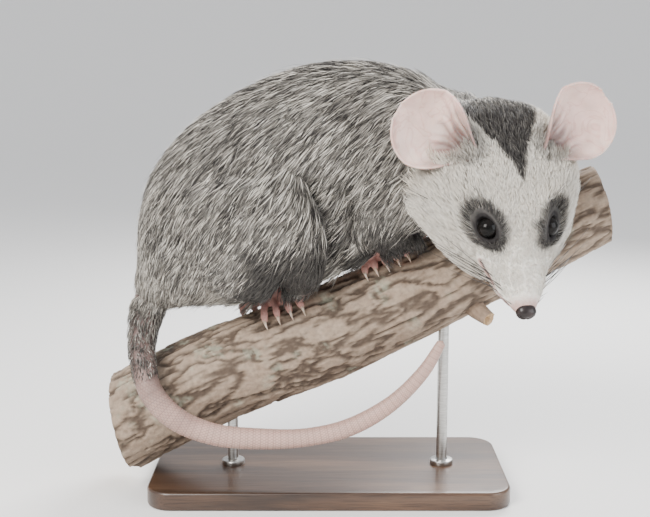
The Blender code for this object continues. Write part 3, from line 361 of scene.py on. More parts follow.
def branch_at(x):
    """Centre, radius, axis and upward normal of the branch at places along X, read between its rows."""
    x = np.asarray(x, float)
    z, radius = (np.interp(x, BRANCH_ROWS[:, 0], BRANCH_ROWS[:, k]) for k in (1, 2))
    ahead, behind = (np.interp(x + d, BRANCH_ROWS[:, 0], BRANCH_ROWS[:, 1]) for d in (4, -4))
    zero = np.zeros_like(x)
    axis = unit(np.stack([zero + 1, zero, (ahead - behind) / 8], -1))
    return np.stack([x, zero, z], -1), radius, axis, np.stack([-axis[..., 2], zero, axis[..., 0]], -1)


def on_branch(x, degrees, height, side):
    """Points at a height over the bark, turned by an angle from the top towards one side of the branch."""
    centre, radius, _, up = branch_at(x)
    out = np.array([0, -1.0 if side == "right" else 1.0, 0])
    turn = np.radians(degrees)
    ray = np.cos(turn)[..., None] * up + np.sin(turn)[..., None] * out
    return centre + (radius + height)[..., None] * ray


print("middle of the branch:", branch_at(0.0)[0])

# %% [markdown]
# The feet are bare, with long soft toes that curl over the bark. A hind foot also has a broad thumb
# that points the other way. Each toe is a tube with a swelling at its knuckle and a pad at its tip,
# and all of them are melted into the skin of the body later on, so that they grow out of it.

# %% Toes and palms
HIND_FOOT = {"x": -14, "ankle": 6, "ball": 12, "tips": 42, "toes": (-7.5, -2.6, 2.4, 7.2), "spread": 1.4}
FORE_FOOT = {"x": 43, "ankle": 2, "ball": 8, "tips": 33, "toes": (-7.6, -3.9, 0, 3.9, 7.6), "spread": 1.5}
SOLE_HEIGHT, TOE_RADIUS, TOE_ARCH, CLAW_LENGTH = 4.6, 2.3, 2.0, 4.5
FEET = [
    ("hind", side, HIND_FOOT, leg_rows(SHANK, side, "hind")) for side in ("right", "left")
] + [("fore", side, FORE_FOOT, leg_rows(FOREARM, side, "fore")) for side in ("right", "left")]


def foot_parts(limb, side, spec, leg):
    """Rings and poles of a foot's palm, ankle and toes. A toe arches: its height over the bark is a half sine."""
    along = spec["x"] + (LEFT_SHIFT[limb] if side == "left" else 0)
    palm_at = [(-2, SOLE_HEIGHT + 1.0, 5.4, 4.4), (3, SOLE_HEIGHT + 0.6, 7.2, 4.4)]
    palm = [(*on_branch(along, spec["ankle"] + a, h, side), w, t, 0) for a, h, w, t in palm_at]
    palm_at = [(2, SOLE_HEIGHT, 8.6, 4.0), (8, SOLE_HEIGHT - 1, 7.6, 2.8)]
    palm += [(*on_branch(along, spec["ball"] + a, h, side), w, t, 0) for a, h, w, t in palm_at]
    last, end = (np.array(row, float) for row in leg[-2:])
    ankle = [tuple(last), tuple(end), (*(end[:3] + (end - last)[:3] * 0.35), 4.4, 4.4, 0)]
    made = [oval_rings(palm, (1, 0, BRANCH_SLOPE), 24, 4), oval_rings(ankle, (0, 1, 0), 24, 4)]
    share = np.linspace(0, 1, 13)
    knuckles = 1 + 0.13 * np.exp(-(((share - 0.42) / 0.09) ** 2)) + 0.10 * np.exp(-(((share - 0.80) / 0.08) ** 2))
    for start in spec["toes"]:
        x = along + start * (1 + (spec["spread"] - 1) * share)
        angles = spec["ball"] - 6 + (spec["tips"] - spec["ball"] + 6) * share
        path = on_branch(x, angles, TOE_RADIUS + 0.3 + TOE_ARCH * np.sin(np.pi * share), side)
        radius = TOE_RADIUS * np.interp(share, (0, 0.5, 0.85, 1), (1.0, 0.90, 0.92, 0.66)) * knuckles
        made.append(oval_rings(np.column_stack([path, radius, radius, radius * 0]), (1, 0, 0.4), 16, 2))
    if limb == "hind":
        angles = spec["ankle"] + 8 - 10 * share
        path = on_branch(along + 4 + 14 * share, angles, TOE_RADIUS + 0.4 + 1.2 * np.sin(np.pi * share), side)
        radius = np.interp(share, (0, 0.6, 0.85, 1), (2.6, 2.4, 2.7, 1.7))
        made.append(oval_rings(np.column_stack([path, radius, radius, radius * 0]), (0, 1, 0), 16, 2))
    return made


foot_tubes = [part for foot in FEET for part in foot_parts(*foot)]
print("tubes in the feet:", len(foot_tubes))

# %% Cheeks
def cheek_frame(side):
    """The middle of a cheek's egg and its three ways: the long way, which spreads outwards, across and up."""
    sign = -1 if side == "right" else 1
    turn = np.radians(CHEEK_SPREAD)
    long_way = -FORWARD * np.cos(turn) + sign * ACROSS * np.sin(turn)
    across = ACROSS * np.cos(turn) + sign * FORWARD * np.sin(turn)
    middle = head_point(CHEEK_AT[0], sign * CHEEK_AT[1], CHEEK_AT[2])
    return middle, np.stack([long_way, across, np.cross(long_way, across)])


def cheek_rings(side):
    """The egg as rings round its long way, with its two ends."""
    middle, ways = cheek_frame(side)
    polar = np.linspace(0, np.pi, 26)[1:-1, None]
    turn = (np.arange(48) * 2 * np.pi / 48)[None]
    ball = np.stack([np.cos(polar) + 0 * turn, np.sin(polar) * np.cos(turn), np.sin(polar) * np.sin(turn)], -1)
    ends = np.array([(1.0, 0, 0), (-1.0, 0, 0)])
    return middle + ball * CHEEK_SIZE @ ways, middle + ends * CHEEK_SIZE @ ways


print("length of a cheek, mm:", 2 * CHEEK_SIZE[0])

# %% [markdown]
# The skin is one surface from the nose to the toes. First the trunk, neck and legs are run together by
# a coarse voxel remesh, which fills the creases between them as muscle and fat do. Then the head and
# the feet join it in a second, finer remesh, which keeps their smaller forms. The coat hides the body's
# skin, so most of the care goes to the face.


# %% Melt the body together
def melted(tubes, name, voxel, rounds):
    """One closed skin round many tubes: they are joined, remeshed by voxels and smoothed some rounds."""
    pieces = [tube(f"{name}_{k}", placed(rings), placed(poles)) for k, (rings, poles) in enumerate(tubes)]
    return remeshed(pieces, name, voxel, rounds)


def remeshed(pieces, name, voxel, rounds):
    """The pieces as one voxel surface."""
    bpy.ops.object.select_all(action="DESELECT")
    for piece in pieces:
        piece.select_set(True)
    bpy.context.view_layer.objects.active = pieces[0]
    bpy.ops.object.join()
    body = bpy.context.view_layer.objects.active
    body.name = body.data.name = name
    grain = body.modifiers.new("Melt", "REMESH")
    grain.mode, grain.voxel_size, grain.use_smooth_shade = "VOXEL", voxel * MM, True
    if rounds:
        ease = body.modifiers.new("Ease", "SMOOTH")
        ease.factor, ease.iterations = 0.5, rounds
    return applied(body)


body_tubes = [oval_rings(rows, hint, depth=SKIN_DEPTH) for rows, hint in PARTS.values()]
body_tubes.append(oval_rings(HEAD_ROWS[3:], ACROSS, depth=0.9))
body_tubes += [cheek_rings(side) for side in ("right", "left")]
body = melted(body_tubes, "body", 2.0, 12)
head_tube = oval_rings(HEAD_ROWS, ACROSS, 96, 8, depth=1.0)
fine = [tube(f"fine_{k}", placed(r), placed(p)) for k, (r, p) in enumerate([head_tube, *foot_tubes])]
skin = remeshed([body, *fine], "skin", 0.66, 0)
print("skin faces:", len(skin.data.polygons))


# %% Ease the joins
def relaxed(points, edges, strength, rounds):
    """Each point is drawn towards the mean of its neighbours by its own strength, round after round."""
    first, second = edges[:, 0], edges[:, 1]
    count = len(points)
    degree = np.maximum(np.bincount(first, minlength=count) + np.bincount(second, minlength=count), 1)
    for _ in range(rounds):
        total = np.stack([
            np.bincount(first, points[second, k], count) + np.bincount(second, points[first, k], count)
            for k in range(3)
        ], -1)
        points = points + strength[:, None] * (total / degree[:, None] - points)
    return points


edges = np.empty(len(skin.data.edges) * 2, np.int32)
skin.data.edges.foreach_get("vertices", edges)
edges = edges.reshape(-1, 2)
points = (vertex_array(skin) - ORIGIN) / MM
back, out, up = head_places(points)
on_face = smoothstep(96, 80, back) * smoothstep(-60, -40, up) * smoothstep(60, 50, np.abs(out))
points = relaxed(points, edges, 0.5 - 0.34 * on_face, 14)
print("share of the skin on the face:", round(float(on_face.mean()), 3))

# %% [markdown]
# Two soft folds part the legs from the flank: one along the front of the thigh, one behind the foreleg.
# Each follows a line drawn in X and Z. The flank sinks beside the line, and the leg swells on its own side.

# %% Folds of the legs
LEG_EDGES = {
    "hind": (1, np.array([(-2, 122), (-1.5, 145.6), (-4.5, 158.4), (-11.1, 173.6), (-18.5, 186)], float)),
    "fore": (-1, np.array([(14.4, 132), (18.4, 149.9), (19.3, 167.9), (16.2, 182)], float)),
}


def leg_edge_gaps(points):
    """For each leg: how far points lie beyond its edge towards the flank, a window along the edge, and the side.

    The gap is x less the edge's x at the same height. The window is 1 along the edge and fades at its ends.
    """
    found = []
    for limb, (ahead, line) in LEG_EDGES.items():
        for side, sign in (("right", -1), ("left", 1)):
            shift = LEFT_SHIFT[limb] if side == "left" else 0
            z = points[:, 2] - shift * BRANCH_SLOPE
            gap = ahead * (points[:, 0] - shift - np.interp(z, line[:, 1], line[:, 0]))
            window = smoothstep(line[-1, 1] + 3, line[-1, 1] - 14, z) * smoothstep(line[0, 1] - 6, line[0, 1] + 4, z)
            found.append((gap, window * smoothstep(10, 22, points[:, 1] * sign), sign))
    return found


for gap, window, sign in leg_edge_gaps(points):
    sunk = smoothstep(-2, 3, gap) * np.exp(-((np.maximum(gap, 0) / 11) ** 2))
    swell = np.exp(-(((gap + 6) / 5) ** 2))
    points[:, 1] += sign * window * (1.5 * swell - 5.5 * sunk)
print("points sunk beside the legs:", int((sunk * window > 0.5).sum()))

# %% [markdown]
# The face is modelled by moving points of the skin, as a sculptor presses and adds clay. Soft bumps
# make the whisker pads, the brows and the cheeks. The lids are a raised ring that hugs each eyeball,
# and the mouth is a thin groove with a lip on each side of it.

# %% Lines of the face
EYE_AT, EYE_RADIUS = (40.5, 15, 11.9), 5.4
EYE_LOOKS, EYE_SLANT = (0.36, 0.66, 0.66), 0.35
LID_LONG, LID_SHORT, LID_CREST = 6.2, 4.5, 2.9
NOSE_AT, NOSE_SIZE = (1.2, 0, 0.6), (4.9, 3.9, 3.7)
# The corner of the mouth lies LIP_CORNER degrees under the side of the head, and its front LIP_ANGLE.
LIP_BACK, LIP_FRONT, LIP_CORNER, LIP_ANGLE, LIP_SAG = 28, 6.5, -2, 15, 2
EAR_AT, EAR_HEIGHT, EAR_HALF_WIDTH, EAR_THICKNESS = (78, 21, 20), 39.5, 22.5, 0.9
EAR_WAYS = {
    "right": ((-0.87, 0.05, 0.49), (-0.14, -0.98, 0.06)), "left": ((0.75, 0.12, 0.65), (0.40, -0.91, 0.05)),
}
# The leaf of the ear closes by EAR_ROLL degrees at its root and by EAR_OPEN from EAR_OPEN_AT of its height.
EAR_ROLL, EAR_OPEN, EAR_OPEN_AT, EAR_BOW, EAR_SUNK = 135, 42, 0.62, 5, 4
HEAD_CURVE = smooth_rows(HEAD, 6)


def head_surface(back, degrees, lift=0.0):
    """Points on the oval of the head at a distance back and an angle from the animal's left, lifted off it."""
    rise, width, top, bottom = (np.interp(back, HEAD_CURVE[:, 0], HEAD_CURVE[:, k]) for k in (1, 2, 3, 4))
    turn = np.radians(degrees)
    tall = np.where(np.sin(turn) > 0, top, bottom)
    return head_point(back, (width + lift) * np.cos(turn), rise + (tall + lift) * np.sin(turn))


def eye_frame(side):
    """The middle of an eye, the way it looks, the long way of its lids, which slants inwards, and the way across."""
    sign = -1 if side == "right" else 1
    b, o, u = EYE_AT
    f, a, h = EYE_LOOKS
    looks = unit(f * FORWARD + sign * a * ACROSS + h * UP)
    ahead = FORWARD - sign * EYE_SLANT * ACROSS
    long_way = unit(ahead - (ahead @ looks) * looks)
    return head_point(b, sign * o, u), looks, long_way, np.cross(looks, long_way)


def ear_frame(side):
    """The root of an ear, the way it rises, the way its cup faces and the way across it."""
    sign = -1 if side == "right" else 1
    rises, faces_to = (unit(way) for way in EAR_WAYS[side])
    faces_to = unit(faces_to - (faces_to @ rises) * rises)
    root = head_point(EAR_AT[0], sign * EAR_AT[1], EAR_AT[2])
    return root, rises, faces_to, np.cross(rises, faces_to)


def ear_roll(share):
    """Half the angle that the leaf is bent through, in radians, and its radius, at shares of its height."""
    tip = np.sqrt(np.maximum(0.05, 1 - np.abs((share - 0.5) / 0.5) ** 2.2))
    spread = np.where(share < 0.5, 0.45 + 0.55 * np.sin(np.pi * share), tip)
    opening = np.radians(EAR_ROLL + (EAR_OPEN - EAR_ROLL) * np.minimum(1, share / EAR_OPEN_AT) ** 0.8)
    return opening, EAR_HALF_WIDTH * spread / opening


def in_ear_cup(points, side):
    """How far points stand in front of the leaf, and how much they are inside its cup, from 0 to 1.

    The leaf at a place aside lies radius - sqrt(radius^2 - aside^2) in front of its middle line.
    """
    root, rises, faces_to, across = ear_frame(side)
    rel = points - root
    high, ahead, aside = rel @ rises, rel @ faces_to, np.abs(rel @ across)
    share = np.clip(high / EAR_HEIGHT, 0, 1)
    opening, radius = ear_roll(share)
    half = radius * np.where(opening < np.pi / 2, np.sin(opening), 1.0)
    leaf = radius - np.sqrt(np.maximum(radius**2 - aside**2, 0)) - EAR_BOW * np.sin(np.pi * share) - EAR_SUNK
    inside = smoothstep(-1.5, 2.5, high) * smoothstep(half + 0.8, half - 1.4, aside) * smoothstep(26, 22, high)
    return ahead - leaf, inside * (ahead < 18)


def near_path(points, path):
    """The distance of each point from a line of short straight pieces, by its foot on each piece."""
    start, way = path[:-1], np.diff(path, axis=0)
    rel = points[:, None] - start
    share = np.clip((rel * way).sum(-1) / (way**2).sum(-1), 0, 1)
    return np.linalg.norm(rel - share[..., None] * way, axis=-1).min(1)


def on_skin(path, points):
    """A path laid on the nearest of the given points, then evened twice by its neighbours."""
    path = np.array([points[np.linalg.norm(points - spot, axis=1).argmin()] for spot in path])
    for _ in range(2):
        path[1:-1] = path[1:-1] / 2 + (path[:-2] + path[2:]) / 4
    return path


lip_share = np.linspace(0, 1, 24)
lip_back = LIP_BACK + (LIP_FRONT - LIP_BACK) * lip_share
lip_angle = -LIP_CORNER - (LIP_ANGLE - LIP_CORNER) * lip_share - LIP_SAG * np.sin(np.pi * lip_share)
front_angle = np.linspace(-LIP_ANGLE - 4, LIP_ANGLE - 176, 11)
MOUTH = np.vstack([
    head_surface(lip_back, lip_angle, -0.4),
    head_surface(np.full(11, LIP_FRONT - 1.5), front_angle, -0.3),
    head_surface(lip_back[::-1], -180 - lip_angle[::-1], -0.4),
])
MOUTH = on_skin(MOUTH, points[head_places(points)[0] < 50])
print("length of the mouth line, mm:", round(float(np.linalg.norm(np.diff(MOUTH, axis=0), axis=1).sum())))

# %% Model the face
back, out, up = head_places(points)
rise = np.interp(back, HEAD_CURVE[:, 0], HEAD_CURVE[:, 1])
axis_points = head_point(back, 0 * back, rise)
outwards = unit(points - axis_points)
FACE_FORMS = [
    # back, out, up, radii of the bump in the same three ways, and its height.
    (14, 8.5, -2.5, 8, 5.0, 6.0, 1.5),
    (24, 16.0, -4.0, 10, 7.0, 8.0, 1.2),
    (29, 12.0, 7.0, 8, 4.5, 5, -0.9),
    (50, 13.5, 19.0, 8, 6, 6, 1.5),
    (74, 0.0, 26.0, 20, 3.2, 8, -0.9),
    (78, 8.0, 26.0, 16, 5.0, 8, 0.6),
    (28, 0.0, 12.0, 15, 3.0, 6, 0.6),
    (40, 0.0, -14.0, 14, 6.0, 6, -0.8),
]
for b, o, u, rb, ro, ru, height in FACE_FORMS:
    bump = np.exp(-(((back - b) / rb) ** 2) - ((np.abs(out) - o) / ro) ** 2 - ((up - u) / ru) ** 2)
    points = points + (height * bump * on_face)[:, None] * outwards

for side in ("right", "left"):
    middle, looks, long_way, across = eye_frame(side)
    rel = points - middle
    high, along_lid, over = rel @ looks, rel @ long_way, rel @ across
    oval = np.hypot(along_lid / LID_LONG, over / LID_SHORT)
    radius = np.hypot(along_lid, over)
    under_ball = np.sqrt(np.maximum(EYE_RADIUS**2 - radius**2, 0)) - 1.4
    crest = LID_CREST + 0.35 * smoothstep(0, 1, -over / LID_SHORT)
    level = high + (crest - high) * smoothstep(2.1, 1.15, oval)
    level = level + (under_ball - level) * smoothstep(0.97, 0.80, oval)
    here = (high > -4) & (oval < 2.1)
    points[here] += (level - high)[here, None] * looks

for side in ("right", "left"):
    ahead, inside = in_ear_cup(points, side)
    points = points - (np.maximum(ahead + 0.9, 0) * inside)[:, None] * ear_frame(side)[2]

mouth_gap = np.full(len(points), 99.0)
snout = (back < 50) & (on_face > 0.5)
mouth_gap[snout] = near_path(points[snout], MOUTH)
lips = -1.15 * np.exp(-((mouth_gap / 0.75) ** 2)) + 0.42 * np.exp(-(((mouth_gap - 1.7) / 0.8) ** 2))
points = points + (lips * smoothstep(3.0, 8, back))[:, None] * outwards
skin.data.vertices.foreach_set("co", placed(points).astype(np.float32).ravel())
skin.data.update()
print("points moved for the lids and the mouth:", int((mouth_gap < 2.5).sum()))

# %% Thin the skin
SKIN_TRIANGLES = 150000
thin = skin.modifiers.new("Thin", "DECIMATE")
thin.ratio = min(1.0, SKIN_TRIANGLES / (2.0 * len(skin.data.polygons)))
skin = applied(skin)
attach(skin, "root")
SKIN_NODES = ["head", "neck", "torso"] + [
    f"{part}_{side}" for part in ("foreleg", "hindleg", "forefoot", "hindfoot") for side in ("right", "left")
]
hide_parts(*SKIN_NODES)
print("skin triangles:", sum(len(face.vertices) - 2 for face in skin.data.polygons))

# %% [markdown]
# One function gives the markings, and both the skin and the coat use it, so they can't disagree. A
# white-eared opossum has a white face with a dark wedge on its forehead and a dark patch round each
# eye, a grizzled grey body, dark legs, and pale bare feet.

# %% Markings
PALE, CREAM, DARK = (0.80, 0.775, 0.715), (0.66, 0.565, 0.43), (0.028, 0.025, 0.024)
FOOT_PINK, TAIL_PINK = (0.50, 0.27, 0.23), (0.56, 0.36, 0.30)
# Half the length and half the width of the dark patch round an eye.
EYE_PATCH = (13.8, 8.0)


def limb_share(points, limb, stop):
    """How far down each leg a point lies: 1 below the given height over the bark, on the leg's own side."""
    share = np.zeros(len(points))
    for side, sign in (("right", -1), ("left", 1)):
        shift = LEFT_SHIFT[limb] if side == "left" else 0
        x0, half, top = ((-16, 24, 152), (38, 20, 160))[limb == "fore"]
        uneven = 16 * (layered_noise(points / 11, 3, 17) - 0.5)
        near = smoothstep(half + 12, half - 8, np.abs(points[:, 0] - x0 - shift) + uneven)
        low = smoothstep(top + 18, top - 14, points[:, 2] - shift * BRANCH_SLOPE + uneven)
        share = np.maximum(share, near * low * smoothstep(8, 20, points[:, 1] * sign))
    return share * stop


def markings(points):
    """Darkness, warmth and grizzle of the coat at points in millimetres, each from 0 to 1.

    Every mark is a smooth step of a distance: the wedge by its half width, which grows from the eyes to
    the crown, the eye patches by an oval round each eye, and the legs by the height over the bark. The head
    is where a point's place in the oval of the head's section, 1 at its rim, is low.
    """
    back, out, up = head_places(points)
    uneven = layered_noise(points / 9, 3, 5) - 0.5
    side_out = np.abs(out)
    rise, width, top, bottom = (np.interp(back, HEAD_CURVE[:, 0], HEAD_CURVE[:, k]) for k in (1, 2, 3, 4))
    head_oval = np.hypot(out / width, (up - rise) / np.where(up > rise, top, bottom))
    for side in ("right", "left"):
        cheek, ways = cheek_frame(side)
        head_oval = np.minimum(head_oval, np.linalg.norm((points - cheek) @ ways.T / CHEEK_SIZE, axis=1))
        head_oval = np.minimum(head_oval, np.linalg.norm(points - eye_frame(side)[0], axis=1) / 14)
    head = smoothstep(112, 94, back + 10 * uneven) * smoothstep(1.24, 1.10, head_oval)
    half_wedge = np.interp(back, (55, 66, 78, 94, 106), (-1.0, 3.6, 8.8, 17.5, 24.0)) + 3 * uneven
    aside = np.abs(out - np.interp(back, (55, 84), (3.5, 0)))
    wedge = smoothstep(1.5, -1.5, aside - half_wedge) * smoothstep(2, 8, up)
    patch = np.zeros(len(points))
    for side in ("right", "left"):
        middle, looks, long_way, across = eye_frame(side)
        rel = points - middle
        eye_oval = np.hypot(rel @ long_way / EYE_PATCH[0], rel @ across / EYE_PATCH[1]) + 0.35 * uneven
        patch = np.maximum(patch, smoothstep(1.15, 0.78, eye_oval) * (rel @ looks > -12))
    from_ear = np.linalg.norm(np.stack([back - EAR_AT[0], side_out - EAR_AT[1], up - EAR_AT[2]], -1), axis=-1)
    ear_root = smoothstep(13, 8, from_ear)
    face = np.maximum.reduce([wedge * 0.97, patch * 0.97, ear_root * 0.5, 0.02 + 0 * back])
    legs = np.maximum(limb_share(points, "hind", 0.95), limb_share(points, "fore", 0.97))
    belly = smoothstep(150, 118, points[:, 2]) * smoothstep(34, 20, np.abs(points[:, 1])) * 0.22
    ridge = smoothstep(26, 4, np.abs(points[:, 1])) * smoothstep(185, 215, points[:, 2]) * 0.14
    tail_root = smoothstep(118, 100, points[:, 2]) * smoothstep(-78, -88, points[:, 0]) * 0.3
    # Painted shade: the coat is darkened along the fold in front of each thigh and behind each foreleg.
    folds = np.zeros(len(points))
    for gap, window, _ in leg_edge_gaps(points):
        folds = np.maximum(folds, window * np.exp(-(((gap - 2.5) / 4.0) ** 2)))
    body = np.clip(0.60 + ridge - belly + tail_root + 0.22 * folds + 0.25 * uneven, 0, 1)
    body = np.maximum(body, legs)
    dark = body + (face - body) * head
    cheek = smoothstep(58, 80, back) * smoothstep(16, 28, side_out) * head
    warm = np.clip(0.22 + 0.35 * cheek + 0.3 * belly + 0.2 * uneven, 0, 1)
    return dark, warm, (1 - head) * (1 - 0.85 * legs)


def mixed(first, second, share):
    """Two colours mixed by a share for each point."""
    first, second = np.asarray(first, float), np.asarray(second, float)
    return first + (second - first) * share[:, None]


def colour_layer(piece, name, colours):
    """Puts one colour for each vertex into a named colour attribute."""
    layer = piece.data.color_attributes.new(name, "FLOAT_COLOR", "POINT")
    layer.data.foreach_set("color", np.column_stack([colours, np.ones(len(colours))]).astype(np.float32).ravel())


points = (vertex_array(skin) - ORIGIN) / MM
dark, warm, grizzle = markings(points)
colours = mixed(mixed(PALE, CREAM, warm), DARK, dark * (1 - 0.3 * grizzle))
_, bark_radius, _, _ = branch_at(points[:, 0])
centre, _, axis, _ = branch_at(points[:, 0])
over_bark = np.linalg.norm(points - centre - ((points - centre) * axis).sum(1)[:, None] * axis, axis=1) - bark_radius
at_foot = np.zeros(len(points))
for limb, side, spec, _ in FEET:
    along, sign = (spec["x"], -1) if side == "right" else (spec["x"] + LEFT_SHIFT[limb], 1)
    at_foot = np.maximum(at_foot, smoothstep(18, 12, np.abs(points[:, 0] - along)) * (points[:, 1] * sign > 0))
bare_limit = 8.0 + 3.5 * at_foot
fringe = over_bark + 2 * layered_noise(points / 3, 2, 9)
bare_foot = smoothstep(bare_limit + 3.5, bare_limit, fringe) * (np.abs(points[:, 1]) > 0.5)
back, out, up = head_places(points)
mouth_gap = np.full(len(points), 99.0)
snout = (back < 50) & (np.abs(out) < 40) & (up > -40)
mouth_gap[snout] = near_path(points[snout], MOUTH)
lip_line = smoothstep(1.3, 0.6, mouth_gap)
lip_skin = smoothstep(2.4, 1.5, mouth_gap)
snout_skin = smoothstep(9, 3.5, back) * (np.abs(out) < 20) * (up > -20) * 0.75
lid_line = np.zeros(len(points))
for side in ("right", "left"):
    middle, looks, long_way, across = eye_frame(side)
    rel = points - middle
    oval = np.hypot(rel @ long_way / (LID_LONG * 1.12), rel @ across / LID_SHORT)
    lid_line = np.maximum(lid_line, smoothstep(1.30, 1.14, oval) * (rel @ looks > -2))
ear_hole = np.zeros(len(points))
for side in ("right", "left"):
    ahead, inside = in_ear_cup(points, side)
    root, rises, _, _ = ear_frame(side)
    in_cup = inside**2 * smoothstep(-3.5, -1.8, ahead) * smoothstep(2.0, 0.3, ahead)
    in_cup = in_cup * smoothstep(21, 16, (points - root) @ rises)
    ear_hole = np.maximum(ear_hole, in_cup)
foot_tone = np.clip(0.35 * layered_noise(points / 2.2, 3, 4) + 0.25 * smoothstep(3, 9, over_bark), 0, 1)
colours = mixed(colours, (0.42, 0.23, 0.20), np.maximum(snout_skin, lip_skin * 0.8))
colours = mixed(colours, (0.045, 0.030, 0.028), ear_hole * 0.9)
colours = mixed(colours, (0.009, 0.007, 0.007), np.maximum(lid_line, lip_line * 0.9))
bare_colour = mixed(FOOT_PINK, (0.20, 0.10, 0.09), foot_tone)
colours = colours + (bare_colour - colours) * bare_foot[:, None]
colour_layer(skin, "markings", colours)
bare = np.maximum.reduce([bare_foot, lid_line, lip_skin, snout_skin, ear_hole])
colour_layer(skin, "bare", np.repeat(bare[:, None], 3, 1))
print("mean darkness of the coat:", round(float(dark.mean()), 2), "bare share:", round(float(bare.mean()), 3))

# %% [markdown]
# Materials are made of nodes. A small helper adds a node, sets its values and joins its inputs, so that
# each material reads as a short list. Every number that is the same all over is set on the shader.


# %% Material helper
def node_tree(name, **values):
    """A material with a Principled shader whose sockets take the given values, its node tree and the shader."""
    material = bpy.data.materials.new(name)
    material.use_nodes = True
    shader = material.node_tree.nodes["Principled BSDF"]
    for socket, value in values.items():
        shader.inputs[socket.replace("_", " ")].default_value = value
    return material, material.node_tree, shader


def add(tree, kind, settings=None, **inputs):
    """A node of a kind, with settings and inputs. An input is a value, or another node's socket."""
    made = tree.nodes.new("ShaderNode" + kind)
    for key, value in (settings or {}).items():
        setattr(made, key, value)
    for key, value in inputs.items():
        socket = made.inputs[int(key[1:])] if key[1:].isdigit() else made.inputs[key.replace("_", " ")]
        if isinstance(value, bpy.types.NodeSocket):
            tree.links.new(value, socket)
        else:
            socket.default_value = value
    return made


def object_points(tree, scale=(1, 1, 1)):
    """Object coordinates in metres, stretched by a Mapping node."""
    place = add(tree, "TexCoord").outputs["Object"]
    return add(tree, "Mapping", Vector=place, Scale=scale).outputs["Vector"]


def ramp(tree, factor, stops):
    """A colour ramp of (position, colour) stops."""
    made = add(tree, "ValToRGB", Fac=factor)
    points = made.color_ramp.elements
    while len(points) < len(stops):
        points.new(0.5)
    for point, (position, colour) in zip(points, stops):
        point.position, point.color = position, (*colour, 1)
    return made.outputs["Color"]


def bumps(tree, shader, *layers):
    """Bump nodes in a row, each with a height, a distance in metres and a strength."""
    normal = None
    for height, distance, strength in layers:
        made = add(tree, "Bump", Height=height, Distance=distance, Strength=strength)
        if normal is not None:
            tree.links.new(normal, made.inputs["Normal"])
        normal = made.outputs["Normal"]
    tree.links.new(normal, shader.inputs["Normal"])


print("material helpers ready")

# %% Skin material
skin_finish, tree, shader = node_tree("skin_finish", Roughness=0.6, Specular_IOR_Level=0.22, Subsurface_Weight=0.1, Subsurface_Scale=0.002)
shader.inputs["Subsurface Radius"].default_value = (1.0, 0.4, 0.25)
painted = add(tree, "VertexColor", {"layer_name": "markings"}).outputs["Color"]
bare_here = add(tree, "VertexColor", {"layer_name": "bare"}).outputs["Color"]
fine_spots = add(tree, "TexNoise", Vector=object_points(tree), Scale=900.0, Detail=3.0).outputs["Fac"]
creases = add(tree, "TexVoronoi", {"feature": "DISTANCE_TO_EDGE"}, Vector=object_points(tree), Scale=1100.0).outputs["Distance"]
mottled = add(tree, "MixRGB", {"blend_type": "OVERLAY"}, Fac=0.35, Color1=painted, Color2=fine_spots).outputs["Color"]
tree.links.new(mottled, shader.inputs["Base Color"])
bumps(tree, shader, (fine_spots, 0.0004, 0.6), (creases, 0.0003, 0.5))
skin.data.materials.clear()
skin.data.materials.append(skin_finish)
print("skin material:", len(tree.nodes), "nodes")

# %% [markdown]
# The eyes are black and wet. Each is a whole ball, a little fuller at the front, with a glossy finish.

# %% Eyes
def eye_piece(side):
    """A ball: latitude and longitude round the way the eye looks, with a slight cornea at the front."""
    middle, looks, long_way, across = eye_frame(side)
    polar = np.linspace(0.06, np.pi - 0.06, 40)[:, None]
    turn = (np.arange(56) * 2 * np.pi / 56)[None]
    reach = EYE_RADIUS * (1 + 0.03 * np.exp(-((polar / 0.5) ** 2)))
    rings = middle + (reach * np.cos(polar) * np.ones_like(turn))[..., None] * looks
    rings = rings + (reach * np.sin(polar) * np.cos(turn))[..., None] * long_way
    rings = rings + (reach * np.sin(polar) * np.sin(turn))[..., None] * across
    poles = np.stack([middle + looks * EYE_RADIUS * 1.03, middle - looks * EYE_RADIUS])
    return tube("eyeball_" + side, placed(rings), placed(poles))


eye_finish, tree, shader = node_tree("eye_finish", Roughness=0.06, Specular_IOR_Level=0.14)
depths = add(tree, "TexNoise", Vector=object_points(tree), Scale=260.0, Detail=4.0).outputs["Fac"]
tree.links.new(ramp(tree, depths, [(0.35, (0.003, 0.003, 0.003)), (0.75, (0.008, 0.006, 0.005))]), shader.inputs["Base Color"])
for side in ("right", "left"):
    ball = eye_piece(side)
    ball.data.materials.append(eye_finish)
    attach(ball, "root")
    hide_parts("eye_" + side)
print("eyes made")

# %% [markdown]
# The nose pad is bare, damp and pebbled, split by a groove, with a comma-shaped nostril on each side.
# It is a squarish ball whose radius is pushed in where the nostrils and the groove are.

# %% Nose
polar = np.linspace(0.03, np.pi * 0.80, 72)[:, None]
turn = (np.arange(112) * 2 * np.pi / 112)[None]
ball = np.stack([np.sin(polar) * np.cos(turn), np.sin(polar) * np.sin(turn), np.cos(polar) * np.ones_like(turn)], -1)
ball = np.sign(ball) * np.abs(ball) ** 0.88
nose_out, nose_up, nose_front = (ball[..., k] * NOSE_SIZE[k] for k in range(3))
aside = np.abs(nose_out)
nostril = np.exp(-(((aside - 2.5) / 1.05) ** 2) - ((nose_up + 0.3) / 0.95) ** 2) * (nose_front > 0)
slit_line = nose_up - 0.3 - 0.25 * (aside - 2.5)
slit = np.exp(-(((aside - 3.9) / 1.2) ** 2) - (slit_line / 0.40) ** 2) * (nose_front > -1)
groove = np.exp(-((aside / 0.35) ** 2)) * smoothstep(1.6, -0.6, nose_up) * (nose_front > 0)
round_nostril = np.hypot((aside - 2.5) / 1.15, (nose_up + 0.3) / 1.05)
rim = np.exp(-(((round_nostril - 1.35) / 0.35) ** 2)) * (nose_front > 0)
push = 0.22 * rim - 2.3 * nostril - 0.8 * slit - 0.6 * groove
